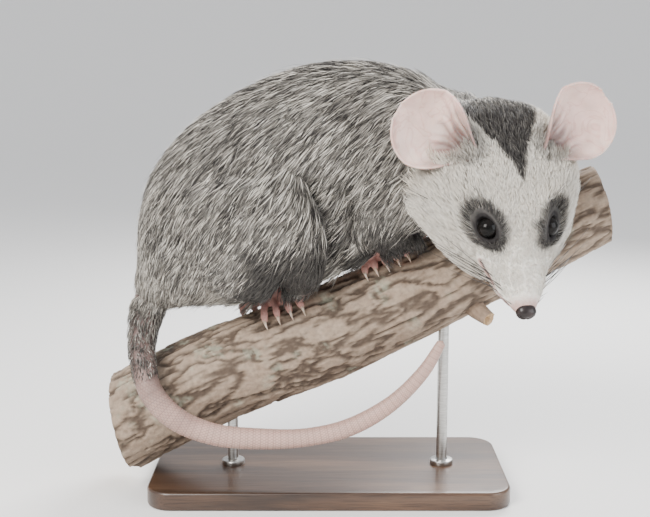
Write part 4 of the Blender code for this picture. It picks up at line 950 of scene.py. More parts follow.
rings = head_point(NOSE_AT[0] - nose_front, nose_out, NOSE_AT[2] + nose_up) + push[..., None] * (
    0.25 * unit(ball @ np.stack([ACROSS, UP, FORWARD])) + 0.75 * FORWARD
)
poles = np.stack([head_point(NOSE_AT[0] - NOSE_SIZE[2], 0, NOSE_AT[2]) - 0.3 * FORWARD, head_point(NOSE_AT[0] + 3.0, 0, NOSE_AT[2])])
nose = tube("nose_pad", placed(rings), placed(poles))
nose_finish, tree, shader = node_tree("nose_finish", Roughness=0.34, Specular_IOR_Level=0.3, Coat_Weight=0.12, Coat_Roughness=0.25)
pebbles = add(tree, "TexVoronoi", {"feature": "SMOOTH_F1"}, Vector=object_points(tree), Scale=2300.0).outputs["Distance"]
tone = add(tree, "TexNoise", Vector=object_points(tree), Scale=420.0, Detail=3.0).outputs["Fac"]
tree.links.new(ramp(tree, tone, [(0.3, (0.009, 0.007, 0.007)), (0.7, (0.028, 0.017, 0.016))]), shader.inputs["Base Color"])
bumps(tree, shader, (pebbles, 0.00022, -0.8))
nose.data.materials.append(nose_finish)
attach(nose, "root")
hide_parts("nose")
print("nose faces:", len(nose.data.polygons))

# %% [markdown]
# An opossum's ear is a thin bare leaf, rolled nearly into a tube at its root. The two parameters are the
# share from root to tip and the place across. The opening angle of the roll shrinks towards the tip,
# low ridges run along the cup, and Solidify gives the leaf its thickness.

# %% Ears
# Ridges inside the cup: place across at the root, where 1 is the edge nearer the crown, and height.
EAR_FOLDS = ((0.74, 2.6), (0.34, 2.3), (-0.10, 1.6), (-0.52, 1.1))
EAR_ROWS, EAR_COLUMNS = 64, 65


def ear_piece(side):
    """A rolled leaf: across is radius * sin(opening * t), and depth is radius * (1 - cos(opening * t))."""
    sign = -1 if side == "right" else 1
    root, rises, faces_to, across = ear_frame(side)
    share = np.linspace(0, 1, EAR_ROWS)[:, None]
    t = np.linspace(-1, 1, EAR_COLUMNS)[None]
    opening, radius = ear_roll(share)
    folds, crease_shade = 0, 0
    for number, (place, height) in enumerate(EAR_FOLDS):
        line = -sign * place * (0.55 + 0.9 * share) + 0.05 * np.sin(15 * share + 2 * number)
        length = smoothstep(0.62 - 0.06 * number, 0.30, share) * smoothstep(0.0, 0.10, share)
        beside = (t - line) * radius * opening
        folds = folds + height * length * np.exp(-((beside / 1.5) ** 2))
        crease_shade = np.maximum(crease_shade, length * np.exp(-(((np.abs(beside) - 2.2) / 0.9) ** 2)))
    places = np.stack([share * 6 + 0 * t, t * 4 + 0 * share, 0 * (share + t) + sign], -1)
    ripple = 0.55 * np.sin(9 * share + 2.2 * sign) * np.abs(t) ** 6 + 0.35 * (noise(places, 3) - 0.5)
    curl = 0.9 * smoothstep(0.86, 1.0, np.abs(t)) * smoothstep(0.1, 0.4, share)
    deep = radius * (1 - np.cos(opening * t)) - EAR_BOW * np.sin(np.pi * share) - EAR_SUNK + folds + ripple + curl
    rise = EAR_HEIGHT * share - 3 * np.abs(t) ** 3 * (1 - share)
    wide = radius * np.sin(opening * t)
    grid = root + rise[..., None] * rises + wide[..., None] * across + deep[..., None] * faces_to
    leaf = mesh_from("ear_leaf_" + side, placed(grid).reshape(-1, 3), grid_faces(EAR_ROWS, EAR_COLUMNS))
    dusk = smoothstep(0.50, 0.06, share + 0 * t + 0.22 * (layered_noise(grid / 5, 3, 8) - 0.5))
    edge = smoothstep(0.80, 1.0, np.maximum(np.abs(t), share + 0 * t)) * 0.25
    tone = mixed((0.72, 0.56, 0.50), (0.045, 0.030, 0.028), dusk.ravel() * 0.85)
    # Painted shade: the grooves beside the ridges inside the cup are darkened.
    tone = mixed(tone, (0.22, 0.12, 0.11), crease_shade.ravel() * 0.62)
    tone = tone + (np.array((0.70, 0.46, 0.42)) - tone) * edge.ravel()[:, None]
    colour_layer(leaf, "markings", tone)
    wall = leaf.modifiers.new("Wall", "SOLIDIFY")
    wall.thickness, wall.offset = EAR_THICKNESS * MM, 0
    return face_outwards(applied(leaf))


ear_finish, tree, shader = node_tree("ear_finish", Roughness=0.52, Subsurface_Weight=0.35, Subsurface_Scale=0.0025)
shader.inputs["Subsurface Radius"].default_value = (1.0, 0.35, 0.22)
painted = add(tree, "VertexColor", {"layer_name": "markings"}).outputs["Color"]
spots = add(tree, "TexNoise", Vector=object_points(tree), Scale=150.0, Detail=5.0).outputs["Fac"]
veins = add(tree, "TexNoise", Vector=object_points(tree), Scale=62.0, Detail=2.5, Distortion=1.4).outputs["Fac"]
vein_tone = ramp(tree, veins, [(0.470, (1, 1, 1)), (0.500, (0.78, 0.58, 0.56)), (0.530, (1, 1, 1))])
spot_tone = ramp(tree, spots, [(0.3, (0.72, 0.66, 0.64)), (0.65, (1, 1, 1))])
mottle = add(tree, "MixRGB", {"blend_type": "MULTIPLY"}, Fac=0.55, Color1=painted, Color2=spot_tone).outputs["Color"]
veined = add(tree, "MixRGB", {"blend_type": "MULTIPLY"}, Fac=0.5, Color1=mottle, Color2=vein_tone).outputs["Color"]
tree.links.new(veined, shader.inputs["Base Color"])
wrinkles = add(tree, "TexNoise", Vector=object_points(tree), Scale=1500.0, Detail=3.0).outputs["Fac"]
bumps(tree, shader, (wrinkles, 0.0002, 0.5), (veins, 0.0004, 0.25))
for side in ("right", "left"):
    leaf = ear_piece(side)
    leaf.data.materials.append(ear_finish)
    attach(leaf, "root")
    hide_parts("ear_" + side)
print("ears made")

# %% [markdown]
# The claws are small pale hooks. They are tapered curved tubes set into the toe tips, joined as one
# mesh, and they stay apart from the skin because horn shines and skin doesn't.

# %% Claws
def hook(path, radii, sides=10):
    """Rings and poles of a thin tapered tube along a path. The rings lie square to the path."""
    rows = smooth_rows(np.column_stack([path, radii]), 4)
    along = unit(np.gradient(rows[:, :3], axis=0))
    side = unit(np.cross(along, np.array([0.23, 0.91, 0.35])))
    up = np.cross(side, along)
    turn = np.arange(sides) * 2 * np.pi / sides
    rings = rows[:, None, :3] + rows[:, 3, None, None] * (
        np.cos(turn)[None, :, None] * side[:, None] + np.sin(turn)[None, :, None] * up[:, None]
    )
    return rings, np.stack([rows[0, :3] - along[0] * rows[0, 3] / 2, rows[-1, :3] + along[-1] * rows[-1, 3]])


def joined(pieces, name):
    """Several mesh pieces as one."""
    bpy.ops.object.select_all(action="DESELECT")
    for piece in pieces:
        piece.select_set(True)
    bpy.context.view_layer.objects.active = pieces[0]
    bpy.ops.object.join()
    made = bpy.context.view_layer.objects.active
    made.name = made.data.name = name
    return made


claws = []
for limb, side, spec, _ in FEET:
    along = spec["x"] + (LEFT_SHIFT[limb] if side == "left" else 0)
    for start in spec["toes"]:
        step = CLAW_LENGTH / 2 / 0.45
        angles = spec["tips"] - 3 + step * np.arange(4) * 0.72
        path = on_branch(np.full(4, along + start * spec["spread"]), angles, np.array([3.1, 3.3, 2.4, 0.9]), side)
        rings, poles = hook(path, np.array([1.0, 0.85, 0.5, 0.12]))
        claws.append(tube("claw", placed(rings), placed(poles)))
claws = joined(claws, "claws")
claw_finish, tree, shader = node_tree("claw_finish", Roughness=0.32, Subsurface_Weight=0.2, Subsurface_Scale=0.001)
layers = add(tree, "TexNoise", Vector=object_points(tree, (1, 1, 0.3)), Scale=900.0, Detail=2.0).outputs["Fac"]
tree.links.new(ramp(tree, layers, [(0.3, (0.34, 0.24, 0.17)), (0.7, (0.62, 0.50, 0.40))]), shader.inputs["Base Color"])
bumps(tree, shader, (layers, 0.0001, 0.5))
claws.data.materials.append(claw_finish)
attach(claws, "root")
print("claw triangles:", sum(len(face.vertices) - 2 for face in claws.data.polygons))

# %% [markdown]
# The tail is long, bare and scaly, and it tapers to a blunt tip. It is one tube from the rump to the
# tip. Its scales are real relief: rows of small tiles go round it, every other row moved by half a
# tile, and the radius dips at the edges of the tiles.

# %% Tail
TAIL_ROWS = smooth_rows([(x, y, z, r) for x, y, z, r in TAIL], 24)
TAIL_LENGTHS = np.concatenate([[0], np.cumsum(np.linalg.norm(np.diff(TAIL_ROWS[:, :3], axis=0), axis=1))])
SCALE_ROW, SCALES_ROUND, TAIL_SIDES, TAIL_START = 1.35, 22, 88, 8.0
tail_length = float(TAIL_LENGTHS[-1])
at = np.arange(TAIL_START, tail_length, 0.40)
x, y, z, radius = (np.interp(at, TAIL_LENGTHS, TAIL_ROWS[:, k]) for k in range(4))
middle = np.stack([x, y, z], -1)
along = unit(np.gradient(middle, axis=0))
side_way = unit(np.cross(along, np.array([0.3, 1, 0.1])))
up_way = np.cross(side_way, along)
TAIL_FRAMES = np.column_stack([middle, along, side_way, up_way, radius])
tail_at = at
turn = np.arange(TAIL_SIDES) * 2 * np.pi / TAIL_SIDES
row = at / SCALE_ROW
shifted = turn[None] * SCALES_ROUND / (2 * np.pi) + 0.5 * (np.floor(row)[:, None] % 2)
tile_along = np.abs((row % 1) - 0.5)[:, None] * 2
tile_round = np.abs((shifted % 1) - 0.5) * 2
relief = -0.20 * smoothstep(0.68, 1.0, np.maximum(tile_along, tile_round)) + 0.06 * (1 - tile_along)
relief = relief * np.interp(radius, (2.0, 6.0), (0.5, 1.0))[:, None]
wobble = 0.12 * np.sin(at / 9.0)[:, None] + 0.10 * np.cos(2 * turn[None] + at[:, None] / 17)
reach = radius[:, None] + relief + wobble
rings = middle[:, None] + (reach * np.cos(turn))[..., None] * side_way[:, None]
rings = rings + (reach * np.sin(turn))[..., None] * up_way[:, None]
poles = np.stack([middle[0] - along[0] * 2, middle[-1] + along[-1] * 1.6])
tail = tube("tail_skin", placed(rings), placed(poles))
tail_points = (vertex_array(tail) - ORIGIN) / MM
# The rims of the scale tiles, where the relief dips, are made darker.
scale_rim_tone = np.append((smoothstep(0.70, 0.98, np.maximum(tile_along, tile_round))).ravel(), [0, 0])
down_tail = np.append(np.repeat(at / tail_length, TAIL_SIDES), [0, 1])
patches = layered_noise(tail_points / 14, 3, 21)
dusk = smoothstep(0.42, 0.16, down_tail + 0.22 * (patches - 0.5)) * 0.86
tone = mixed(mixed(TAIL_PINK, (0.46, 0.31, 0.26), patches), (0.050, 0.036, 0.034), dusk)
tone = mixed(tone, (0.16, 0.095, 0.085), scale_rim_tone * 0.6)
colour_layer(tail, "markings", tone)
tail_finish, tree, shader = node_tree("tail_finish", Roughness=0.5, Subsurface_Weight=0.15, Subsurface_Scale=0.0015)
shader.inputs["Subsurface Radius"].default_value = (1.0, 0.4, 0.3)
painted = add(tree, "VertexColor", {"layer_name": "markings"}).outputs["Color"]
tree.links.new(painted, shader.inputs["Base Color"])
grain = add(tree, "TexNoise", Vector=object_points(tree), Scale=1600.0, Detail=3.0).outputs["Fac"]
bumps(tree, shader, (grain, 0.00012, 0.5))
tail.data.materials.append(tail_finish)
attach(tail, "root")
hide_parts(*[f"tail_{k}" for k in range(1, 6)])
print("tail length, mm:", round(tail_length), "rings:", len(at))

# %% [markdown]
# The branch is a sawn length with furrowed bark. Its surface is a grid of places along and round it.
# The bark comes from noises stretched along the grain: ridges where a noise crosses its middle, cut
# across by a few cracks. The sawn ends close the same mesh, with rings of growth.

# %% Bark
SAW_POINT, SAW_SLOPE = (-113.0, 34.0), 0.2474
ROWS_ALONG, ROWS_ROUND = 360, 176
TOP_END = 150.0
turn = (np.arange(ROWS_ROUND) * 2 * np.pi / ROWS_ROUND)[None]
share = np.linspace(0, 1, ROWS_ALONG)[:, None]


def bark_grid(share, turn, inset=0.0):
    """Bark points: the axis at x, plus the radius on a circle. x runs from the slanting saw cut to the top end."""
    start = np.full(turn.shape, SAW_POINT[0])
    for _ in range(6):
        centre, radius, _, up = branch_at(start)
        z = centre[..., 2] + radius * np.cos(turn) * up[..., 2]
        start = SAW_POINT[0] - SAW_SLOPE * (z - SAW_POINT[1]) - radius * np.cos(turn) * up[..., 0]
    x = start + (TOP_END - start) * share
    centre, radius, axis, up = branch_at(x)
    lengthwise = x * 1.1
    round_place = np.stack([np.cos(turn) + 0 * x, np.sin(turn) + 0 * x], -1)
    grain_space = np.concatenate([round_place * 4.6, (lengthwise / 24)[..., None]], -1)
    warp = layered_noise(grain_space * 0.6, 3, 40) - 0.5
    ridges = 1 - np.abs(2 * layered_noise(grain_space + warp[..., None] * 1.2, 4, 41) - 1) * 3.2
    ridges = np.clip(ridges, 0, 1)
    crack_space = np.concatenate([round_place * 2.2, (lengthwise / 7)[..., None]], -1)
    cracks = np.clip(1 - np.abs(2 * layered_noise(crack_space, 3, 47) - 1) * 7, 0, 1) * ridges
    flakes = layered_noise(grain_space * np.array([3.0, 3.0, 5.0]), 3, 52) - 0.5
    waves = 0.7 * (np.sin(3 * turn + 0.027 * x) + 0.6 * np.sin(5 * turn - 0.04 * x))
    relief = 1.15 * (0.45 - smoothstep(0.35, 0.95, ridges)) - 0.5 * cracks + 0.55 * flakes + 0.7 * waves
    reach = radius + relief - 0.5 - inset
    out = np.array([0, -1.0, 0])
    points = centre + (reach * np.cos(turn))[..., None] * up + (reach * np.sin(turn))[..., None] * out
    return points, ridges, flakes


bark_points, furrow, flakes = bark_grid(share, turn)
ends = []
for end_share, row in ((0.0, 0), (1.0, -1)):
    rim = bark_points[row]
    middle = rim.mean(0)
    shrink = np.concatenate([[0.985, 0.93, 0.925], np.linspace(0.90, 0.03, 26)])[:, None, None]
    ends.append(middle + (rim - middle) * shrink)
axis_low, axis_high = (unit(bark_points[a].mean(0) - bark_points[b].mean(0)) for a, b in ((0, 6), (-1, -7)))
for cap, axis in ((ends[0], axis_low), (ends[1], axis_high)):
    cap += axis * np.concatenate([[0.25, 0.45, 0.3], np.full(26, 0.30)])[:, None, None]
rings = np.concatenate([ends[0][::-1], bark_points, ends[1]])
poles = np.stack([ends[0][-1].mean(0), ends[1][-1].mean(0)])
perch = tube("branch_bark", placed(rings), placed(poles))
cut_count = len(ends[0]) * ROWS_ROUND
on_cut = np.concatenate([np.ones(cut_count), np.zeros(bark_points[..., 0].size), np.ones(cut_count), [1, 1]])
on_cut[(len(ends[0]) - 2) * ROWS_ROUND : cut_count] = 0.0
on_cut[-2 - cut_count : -2 - cut_count + 2 * ROWS_ROUND] = 0.0
depth_tone = np.concatenate([np.zeros(cut_count), furrow.ravel(), np.zeros(cut_count), [0, 0]])
flake_tone = np.concatenate([np.zeros(cut_count), flakes.ravel() + 0.5, np.zeros(cut_count), [0, 0]])
from_heart = np.concatenate([
    np.linalg.norm(ends[0][::-1] - ends[0][-1].mean(0), axis=-1).ravel(), np.zeros(bark_points[..., 0].size),
    np.linalg.norm(ends[1] - ends[1][-1].mean(0), axis=-1).ravel(), [0, 0],
])
print("bark grid:", ROWS_ALONG, "by", ROWS_ROUND)

# %% Bark colours
perch_points = (vertex_array(perch) - ORIGIN) / MM
lichen = layered_noise(perch_points / 16, 4, 61)
lichen_spots = smoothstep(0.60, 0.72, lichen) * smoothstep(0.35, 0.6, layered_noise(perch_points / 2.4, 2, 66))
over_axis = perch_points[:, 2] - np.interp(perch_points[:, 0], BRANCH_AXIS[:, 0], BRANCH_AXIS[:, 1])
# Painted light: the upper side of the bark is made paler.
painted_crown_light = 0.15 * smoothstep(-10, 20, over_axis)
bark_tone = mixed((0.20, 0.135, 0.090), (0.34, 0.265, 0.200), np.clip(flake_tone + painted_crown_light, 0, 1))
bark_tone = mixed(bark_tone, (0.045, 0.028, 0.018), smoothstep(0.30, 0.95, depth_tone) * 0.88)
bark_tone = mixed(bark_tone, (0.36, 0.37, 0.28), lichen_spots * 0.5)
growth = 0.5 + 0.5 * np.sin(from_heart * 2 * np.pi / 1.9 + 2.5 * layered_noise(perch_points / 9, 2, 70))
heart = smoothstep(20, 6, from_heart)
wood_tone = mixed(mixed((0.55, 0.38, 0.21), (0.42, 0.26, 0.13), growth**3), (0.34, 0.20, 0.10), heart * 0.5)
colour_layer(perch, "markings", bark_tone + (wood_tone - bark_tone) * on_cut[:, None])
bark_finish, tree, shader = node_tree("bark_finish", Roughness=0.86)
painted = add(tree, "VertexColor", {"layer_name": "markings"}).outputs["Color"]
speckle = add(tree, "TexNoise", Vector=object_points(tree), Scale=420.0, Detail=5.0).outputs["Fac"]
tree.links.new(
    add(tree, "MixRGB", {"blend_type": "OVERLAY"}, Fac=0.45, Color1=painted, Color2=speckle).outputs["Color"],
    shader.inputs["Base Color"],
)
rough_bark = add(tree, "TexNoise", Vector=object_points(tree, (1, 1, 1)), Scale=700.0, Detail=5.0).outputs["Fac"]
bumps(tree, shader, (rough_bark, 0.0006, 0.7))
perch.data.materials.append(bark_finish)
print("bark colours set")

# %% Broken twig
STUB = [
    (76, -4, 107, 8.6, 7.6, 0), (80, -10, 104, 6.6, 5.8, 0), (84, -15, 101, 5.4, 4.8, 0), (88, -18.5, 98.4, 4.6, 4.0, 0),
]
stub_rings, _ = oval_rings(STUB, (0, 1, 0), 40, 10)
stub_axis = unit(stub_rings[-1].mean(0) - stub_rings[-4].mean(0))
stub_turn = np.arange(40) * 2 * np.pi / 40
ragged = 1.7 * (noise(np.stack([np.cos(stub_turn) * 2.6, np.sin(stub_turn) * 2.6, 0 * stub_turn], -1), 77) - 0.4)
collar = stub_rings[-1].mean(0)
# Each ring of the break: its share of the stub's width, how ragged it is, and how far out it lies.
BREAK = ((0.97, 1.0, 0.5), (0.80, 1.3, 0.4), (0.60, 1.7, -0.2), (0.38, 2.1, -0.4), (0.16, 2.0, -0.3))
broken = [collar + (stub_rings[-1] - collar) * s + stub_axis * (ragged * h + lift)[:, None] for s, h, lift in BREAK]
stub_all = np.concatenate([stub_rings, np.stack(broken)])
stub_wave = 0.35 * (layered_noise(stub_all / np.array([3.0, 2.0, 2.0]), 3, 79) - 0.5)
stub_all = stub_all + stub_wave[..., None] * unit(stub_all - stub_all.mean(1, keepdims=True))
stub_poles = np.stack([stub_rings[0].mean(0), broken[-1].mean(0)])
twig = tube("broken_twig", placed(stub_all), placed(stub_poles))
raw = np.concatenate([np.zeros(stub_rings[..., 0].size), np.ones(5 * 40) * 1.0, [0, 1]])
twig_points = (vertex_array(twig) - ORIGIN) / MM
splinter = noise(twig_points / np.array([0.7, 0.7, 0.7]), 81)
twig_tone = mixed((0.16, 0.105, 0.068), (0.30, 0.22, 0.16), layered_noise(twig_points / 2, 3, 83))
twig_tone = twig_tone + (mixed((0.50, 0.35, 0.20), (0.30, 0.18, 0.09), splinter) - twig_tone) * raw[:, None]
colour_layer(twig, "markings", twig_tone)
twig.data.materials.append(bark_finish)
for piece in (perch, twig):
    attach(piece, "root")
    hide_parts("perch")
print("twig faces:", len(twig.data.polygons))

# %% [markdown]
# The stand is a plain walnut slab and two steel rods. The slab's outline is a rectangle with round
# corners, and its profile steps in over the top edge as a small rounded bevel. The wood's figure is a
# noise stretched along X, with long fine pores.

# %% Base
def rounded_outline(half_x, half_y, corner, per_corner=18):
    """A rectangle with round corners: each corner is a quarter circle about its own centre."""
    quarter = np.linspace(0, np.pi / 2, per_corner)
    turns = quarter[None] + np.arange(4)[:, None] * np.pi / 2
    sign_x, sign_y = np.array([1, -1, -1, 1])[:, None], np.array([1, 1, -1, -1])[:, None]
    x = sign_x * (half_x - corner) + corner * np.cos(turns)
    y = sign_y * (half_y - corner) + corner * np.sin(turns)
    return np.stack([x.ravel(), y.ravel()], -1)


length, depth, height = BASE_SIZE
bevel = np.linspace(0, np.pi / 2, 7)
steps = [(1.2, 0.0), (0.35, 0.35), (0.0, 1.2)]
steps += [(1.6 * (1 - np.cos(a)), height - 1.6 + 1.6 * np.sin(a)) for a in bevel]
steps += [(5.0, height), (20.0, height), (40.0, height)]
outlines = [rounded_outline(length / 2 - s, depth / 2 - s, max(14 - s, 1.0)) for s, _ in steps]
rings = np.stack([np.column_stack([o[:, 0] + BASE_X, o[:, 1], np.full(len(o), z)]) for o, (_, z) in zip(outlines, steps)])
base = tube("base_slab", placed(rings), placed([(BASE_X, 0, 0), (BASE_X, 0, height)]))
base.data.set_sharp_from_angle(angle=np.radians(38))
wood_finish, tree, shader = node_tree("wood_finish", Roughness=0.34, Coat_Weight=0.25, Coat_Roughness=0.2)
figure = add(tree, "TexNoise", Vector=object_points(tree, (0.9, 9, 9)), Scale=9.0, Detail=5.0, Distortion=0.6).outputs["Fac"]
pores = add(tree, "TexNoise", Vector=object_points(tree, (0.8, 22, 22)), Scale=70.0, Detail=3.0).outputs["Fac"]
walnut = ramp(tree, figure, [(0.30, (0.028, 0.015, 0.009)), (0.50, (0.070, 0.036, 0.020)), (0.68, (0.125, 0.068, 0.038))])
pore_tone = ramp(tree, pores, [(0.36, (0.45, 0.40, 0.36)), (0.50, (1, 1, 1))])
wood = add(tree, "MixRGB", {"blend_type": "MULTIPLY"}, Fac=0.7, Color1=walnut, Color2=pore_tone).outputs["Color"]
tree.links.new(wood, shader.inputs["Base Color"])
bumps(tree, shader, (pores, 0.0002, 0.35))
base.data.materials.append(wood_finish)
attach(base, "root")
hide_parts("stand_base")
print("base ring points:", rings.shape[1])

# %% Rods
ROD_RADIUS, ROD_X = 3.0, (-52.0, 66.0)
rod_turn = np.arange(40) * 2 * np.pi / 40
steel_finish, tree, shader = node_tree("steel_finish", Roughness=0.30, Metallic=1.0, Anisotropic=0.4)
brushed = add(tree, "TexNoise", Vector=object_points(tree, (1, 1, 14)), Scale=240.0, Detail=3.0).outputs["Fac"]
tree.links.new(ramp(tree, brushed, [(0.3, (0.36, 0.355, 0.34)), (0.7, (0.58, 0.575, 0.56))]), shader.inputs["Base Color"])
bumps(tree, shader, (brushed, 0.00006, 0.5))
for number, x in enumerate(ROD_X, 1):
    centre, radius, _, _ = branch_at(x)
    top = float(centre[2] - radius + 2.5)
    profile = [(6.2, height), (6.4, height + 0.3), (6.4, height + 2.2), (6.0, height + 2.7), (3.6, height + 3.0), (3.0, height + 3.6)]
    profile += [(3.0, z) for z in np.linspace(height + 6, top, 14)]
    rings = np.stack([np.column_stack([x + r * np.cos(rod_turn), r * np.sin(rod_turn), np.full(40, z)]) for r, z in profile])
    rod = tube(f"steel_rod_{number}", placed(rings), placed([(x, 0, height), (x, 0, top)]))
    rod.data.set_sharp_from_angle(angle=np.radians(35))
    rod.data.materials.append(steel_finish)
    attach(rod, "root")
    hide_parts(f"stand_rod_{number}")
print("rods made")

# %% [markdown]
# The coat is solid mesh: tens of thousands of thin tapered tufts over the skin. Each lies along the
# animal, back from the nose, over the flanks and down the legs. To find its way, every place on the
# skin looks at the oval sections near it and takes a mean of their directions, coat depths and hair
# lengths, in which near sections count most.

# %% Lie of the coat
# For each part: length of the hair, its width, and the way it lies along the part's rows (1 or -1).
# Then comes a fixed way that is added, and how much of it.
HAIR = {
    "trunk": (16.5, 0.64, -1, (0, 0, -1), 0.25), "neck": (12.0, 0.58, -1, (0, 0, -1), 0.10),
    "tail_root": (7.0, 0.46, 1, (0, 0, -1), 0.0), "thigh": (12.5, 0.60, 0, (-0.55, 0, -0.83), 1.0),
    "shank": (8.0, 0.50, 1, (-0.3, 0, -1), 0.5), "arm": (11.0, 0.56, 1, (-0.2, 0, -1), 0.6),
    "forearm": (6.5, 0.46, 1, (0, 0, -1), 0.3), "head": (5.0, 0.40, 1, (0, 0, -1), 0.0),
}


def section_table():
    """Every oval section of the body as arrays: middle, size, axes, coat, hair length and width, way, part."""
    table = {key: [] for key in ("middle", "size", "along", "side", "up", "coat", "length", "width", "way", "part", "at")}
    for number, (name, (stations, hint)) in enumerate({**PARTS, "head": (HEAD_ROWS, ACROSS)}.items()):
        rows = smooth_rows(stations, 4)
        along = unit(np.gradient(rows[:, :3], axis=0))
        side = unit(np.array(hint, float) - (along @ np.array(hint, float))[:, None] * along)
        length, width, sign, fixed, share = HAIR[name.replace("_right", "").replace("_left", "")]
        steps = np.linalg.norm(np.diff(rows[:, :3], axis=0), axis=1)
        table["middle"].append(rows[:, :3])
        table["size"].append((rows[:, 3] + (rows[:, 4] + rows[:, -2]) / 2) / 2)
        table["along"].append(along)
        table["side"].append(side)
        table["up"].append(np.cross(side, along))
        table["coat"].append(rows[:, -1])
        scale = np.interp(rows[:, -1], (0.2, 1.0, 2.5, 4.0), (0.36, 0.55, 0.85, 1.35)) if name == "head" else 1.0
        table["length"].append(length * scale * np.ones(len(rows)))
        table["width"].append(width * (np.sqrt(scale) if name == "head" else 1.0) * np.ones(len(rows)))
        table["way"].append(unit(sign * along + share * np.array(fixed, float)))
        table["part"].append(np.full(len(rows), number))
        table["at"].append(np.concatenate([[0], np.cumsum(steps)]))
    return {key: np.concatenate(values) for key, values in table.items()}


SECTIONS = section_table()
PART_NAMES = [*PARTS, "head"]


def coat_field(points):
    """The way, coat depth, hair length and width at points, and the nearest section's part, angle and place along.

    A section's weight is exp(-14 * (its distance over its size - that of the nearest section)).
    """
    out = []
    for some in np.array_split(points, max(1, len(points) // 15000)):
        rel = some[:, None] - SECTIONS["middle"][None]
        scaled = np.linalg.norm(rel, axis=-1) / SECTIONS["size"]
        nearest = scaled.argmin(1)
        weight = np.exp(-14 * (scaled - scaled.min(1, keepdims=True)))
        weight /= weight.sum(1, keepdims=True)
        pick = np.arange(len(some))
        own = rel[pick, nearest]
        out.append(np.column_stack([
            weight @ SECTIONS["way"], weight @ SECTIONS["coat"], weight @ SECTIONS["length"], weight @ SECTIONS["width"],
            SECTIONS["part"][nearest],
            np.arctan2((own * SECTIONS["side"][nearest]).sum(1), (own * SECTIONS["up"][nearest]).sum(1)),
            SECTIONS["at"][nearest] + (own * SECTIONS["along"][nearest]).sum(1),
        ]))
    field = np.concatenate(out)
    return dict(way=field[:, :3], coat=field[:, 3], length=field[:, 4], width=field[:, 5], part=field[:, 6].astype(int),
                angle=field[:, 7], at=field[:, 8])


print("sections:", len(SECTIONS["coat"]))

# %% [markdown]
# Roots are scattered over the triangles of the skin. A triangle gets tufts by its area and by how dense
# the coat is there, and each root takes a random place inside its triangle. Bare places, such as the
# feet, the lids, the lips and the end of the nose, get none.

# %% Roots of the tufts
# Tufts for each square millimetre of skin.
HEAD_TUFTS, LEG_TUFTS, BODY_TUFTS = 2.3, 1.8, 1.28
random = np.random.default_rng(20)
skin.data.calc_loop_triangles()
corners = np.empty(len(skin.data.loop_triangles) * 3, np.int32)
skin.data.loop_triangles.foreach_get("vertices", corners)
corners = corners.reshape(-1, 3)
skin_points = (vertex_array(skin) - ORIGIN) / MM
skin_normals = vertex_array(skin, "normal")
triangles = skin_points[corners]
areas = np.linalg.norm(np.cross(triangles[:, 1] - triangles[:, 0], triangles[:, 2] - triangles[:, 0]), axis=1) / 2
skin_field = coat_field(skin_points)
bare_share = bare[corners].max(1)
is_head = skin_field["part"][corners[:, 0]] == PART_NAMES.index("head")
SHORT_PARTS = [k for k, name in enumerate(PART_NAMES) if name[:5] in ("shank", "forea", "head")]
is_leg = np.isin(skin_field["part"][corners[:, 0]], SHORT_PARTS) & ~is_head
density = np.where(is_head, HEAD_TUFTS, np.where(is_leg, LEG_TUFTS, BODY_TUFTS)) * smoothstep(0.45, 0.15, bare_share)
middles = triangles.mean(1)
on_tail = (middles[:, 0] < -84) & (middles[:, 2] < 112)
density = density * np.where(on_tail, 0.6 * smoothstep(84, 106, middles[:, 2]), 1)


def scatter(count, weights):
    """Roots on the skin: evenly spaced picks along the running sum of area and density, with random places inside."""
    running = np.cumsum(areas * weights)
    picks = (np.arange(count) + random.random(count)) / count * running[-1]
    chosen = np.searchsorted(running, picks)
    a, b = np.sqrt(random.random(count)), random.random(count)
    share = np.stack([1 - a, a * (1 - b), a * b], -1)[..., None]
    return (triangles[chosen] * share).sum(1), unit((skin_normals[corners[chosen]] * share).sum(1))


tuft_count = int((areas * density).sum())
roots, root_normals = scatter(tuft_count, density)
print("skin area, cm2:", round(float(areas.sum()) / 100), "tufts:", tuft_count)

# %% [markdown]
# A tuft is a thin blade with three sides, wide near its root and drawn out to a point. It lifts off the
# skin and then bends back to lie along it. The bend follows how the skin curves in that direction,
# which is how fast the normal turns from one point of the skin to the next. Tips that are near each
# other lean together, as the hair of an opossum does.

# %% Curving of the skin
edge_list = np.empty(len(skin.data.edges) * 2, np.int32)
skin.data.edges.foreach_get("vertices", edge_list)
edge_list = edge_list.reshape(-1, 2)
CURVE_CELL = 7.0


def cell_keys(points, size, wander=0.0):
    """One whole number for each point's cell in a grid of cubes. wander makes the cells' walls uneven."""
    moved = points / size
    if wander:
        moved = moved + wander * np.stack([noise(points / (size * 0.6), s) for s in (91, 92, 93)], -1)
    cells = np.floor(moved).astype(np.int64) + 4096
    return (cells[:, 0] * 8192 + cells[:, 1]) * 8192 + cells[:, 2]


edge_way = skin_points[edge_list[:, 1]] - skin_points[edge_list[:, 0]]
edge_turn = skin_normals[edge_list[:, 1]] - skin_normals[edge_list[:, 0]]
edge_keys = cell_keys(skin_points[edge_list[:, 0]], CURVE_CELL)
known, inverse = np.unique(edge_keys, return_inverse=True)
turn_sums = np.stack([
    np.bincount(inverse, edge_turn[:, i] * edge_way[:, j], len(known)) for i in range(3) for j in range(3)
], -1).reshape(-1, 3, 3)
way_sums = np.stack([
    np.bincount(inverse, edge_way[:, i] * edge_way[:, j], len(known)) for i in range(3) for j in range(3)
], -1).reshape(-1, 3, 3)
bending = turn_sums @ np.linalg.inv(way_sums + np.eye(3) * way_sums.trace(axis1=1, axis2=2)[:, None, None] * 0.05)


def curving(points, ways):
    """How the skin curves along a way at points: way . (bending . way), one over a radius in millimetres."""
    found = np.clip(np.searchsorted(known, cell_keys(points, CURVE_CELL)), 0, len(known) - 1)
    return np.clip(np.einsum("ni,nij,nj->n", ways, bending[found], ways), -0.004, 0.06)


print("cells of curving:", len(known))


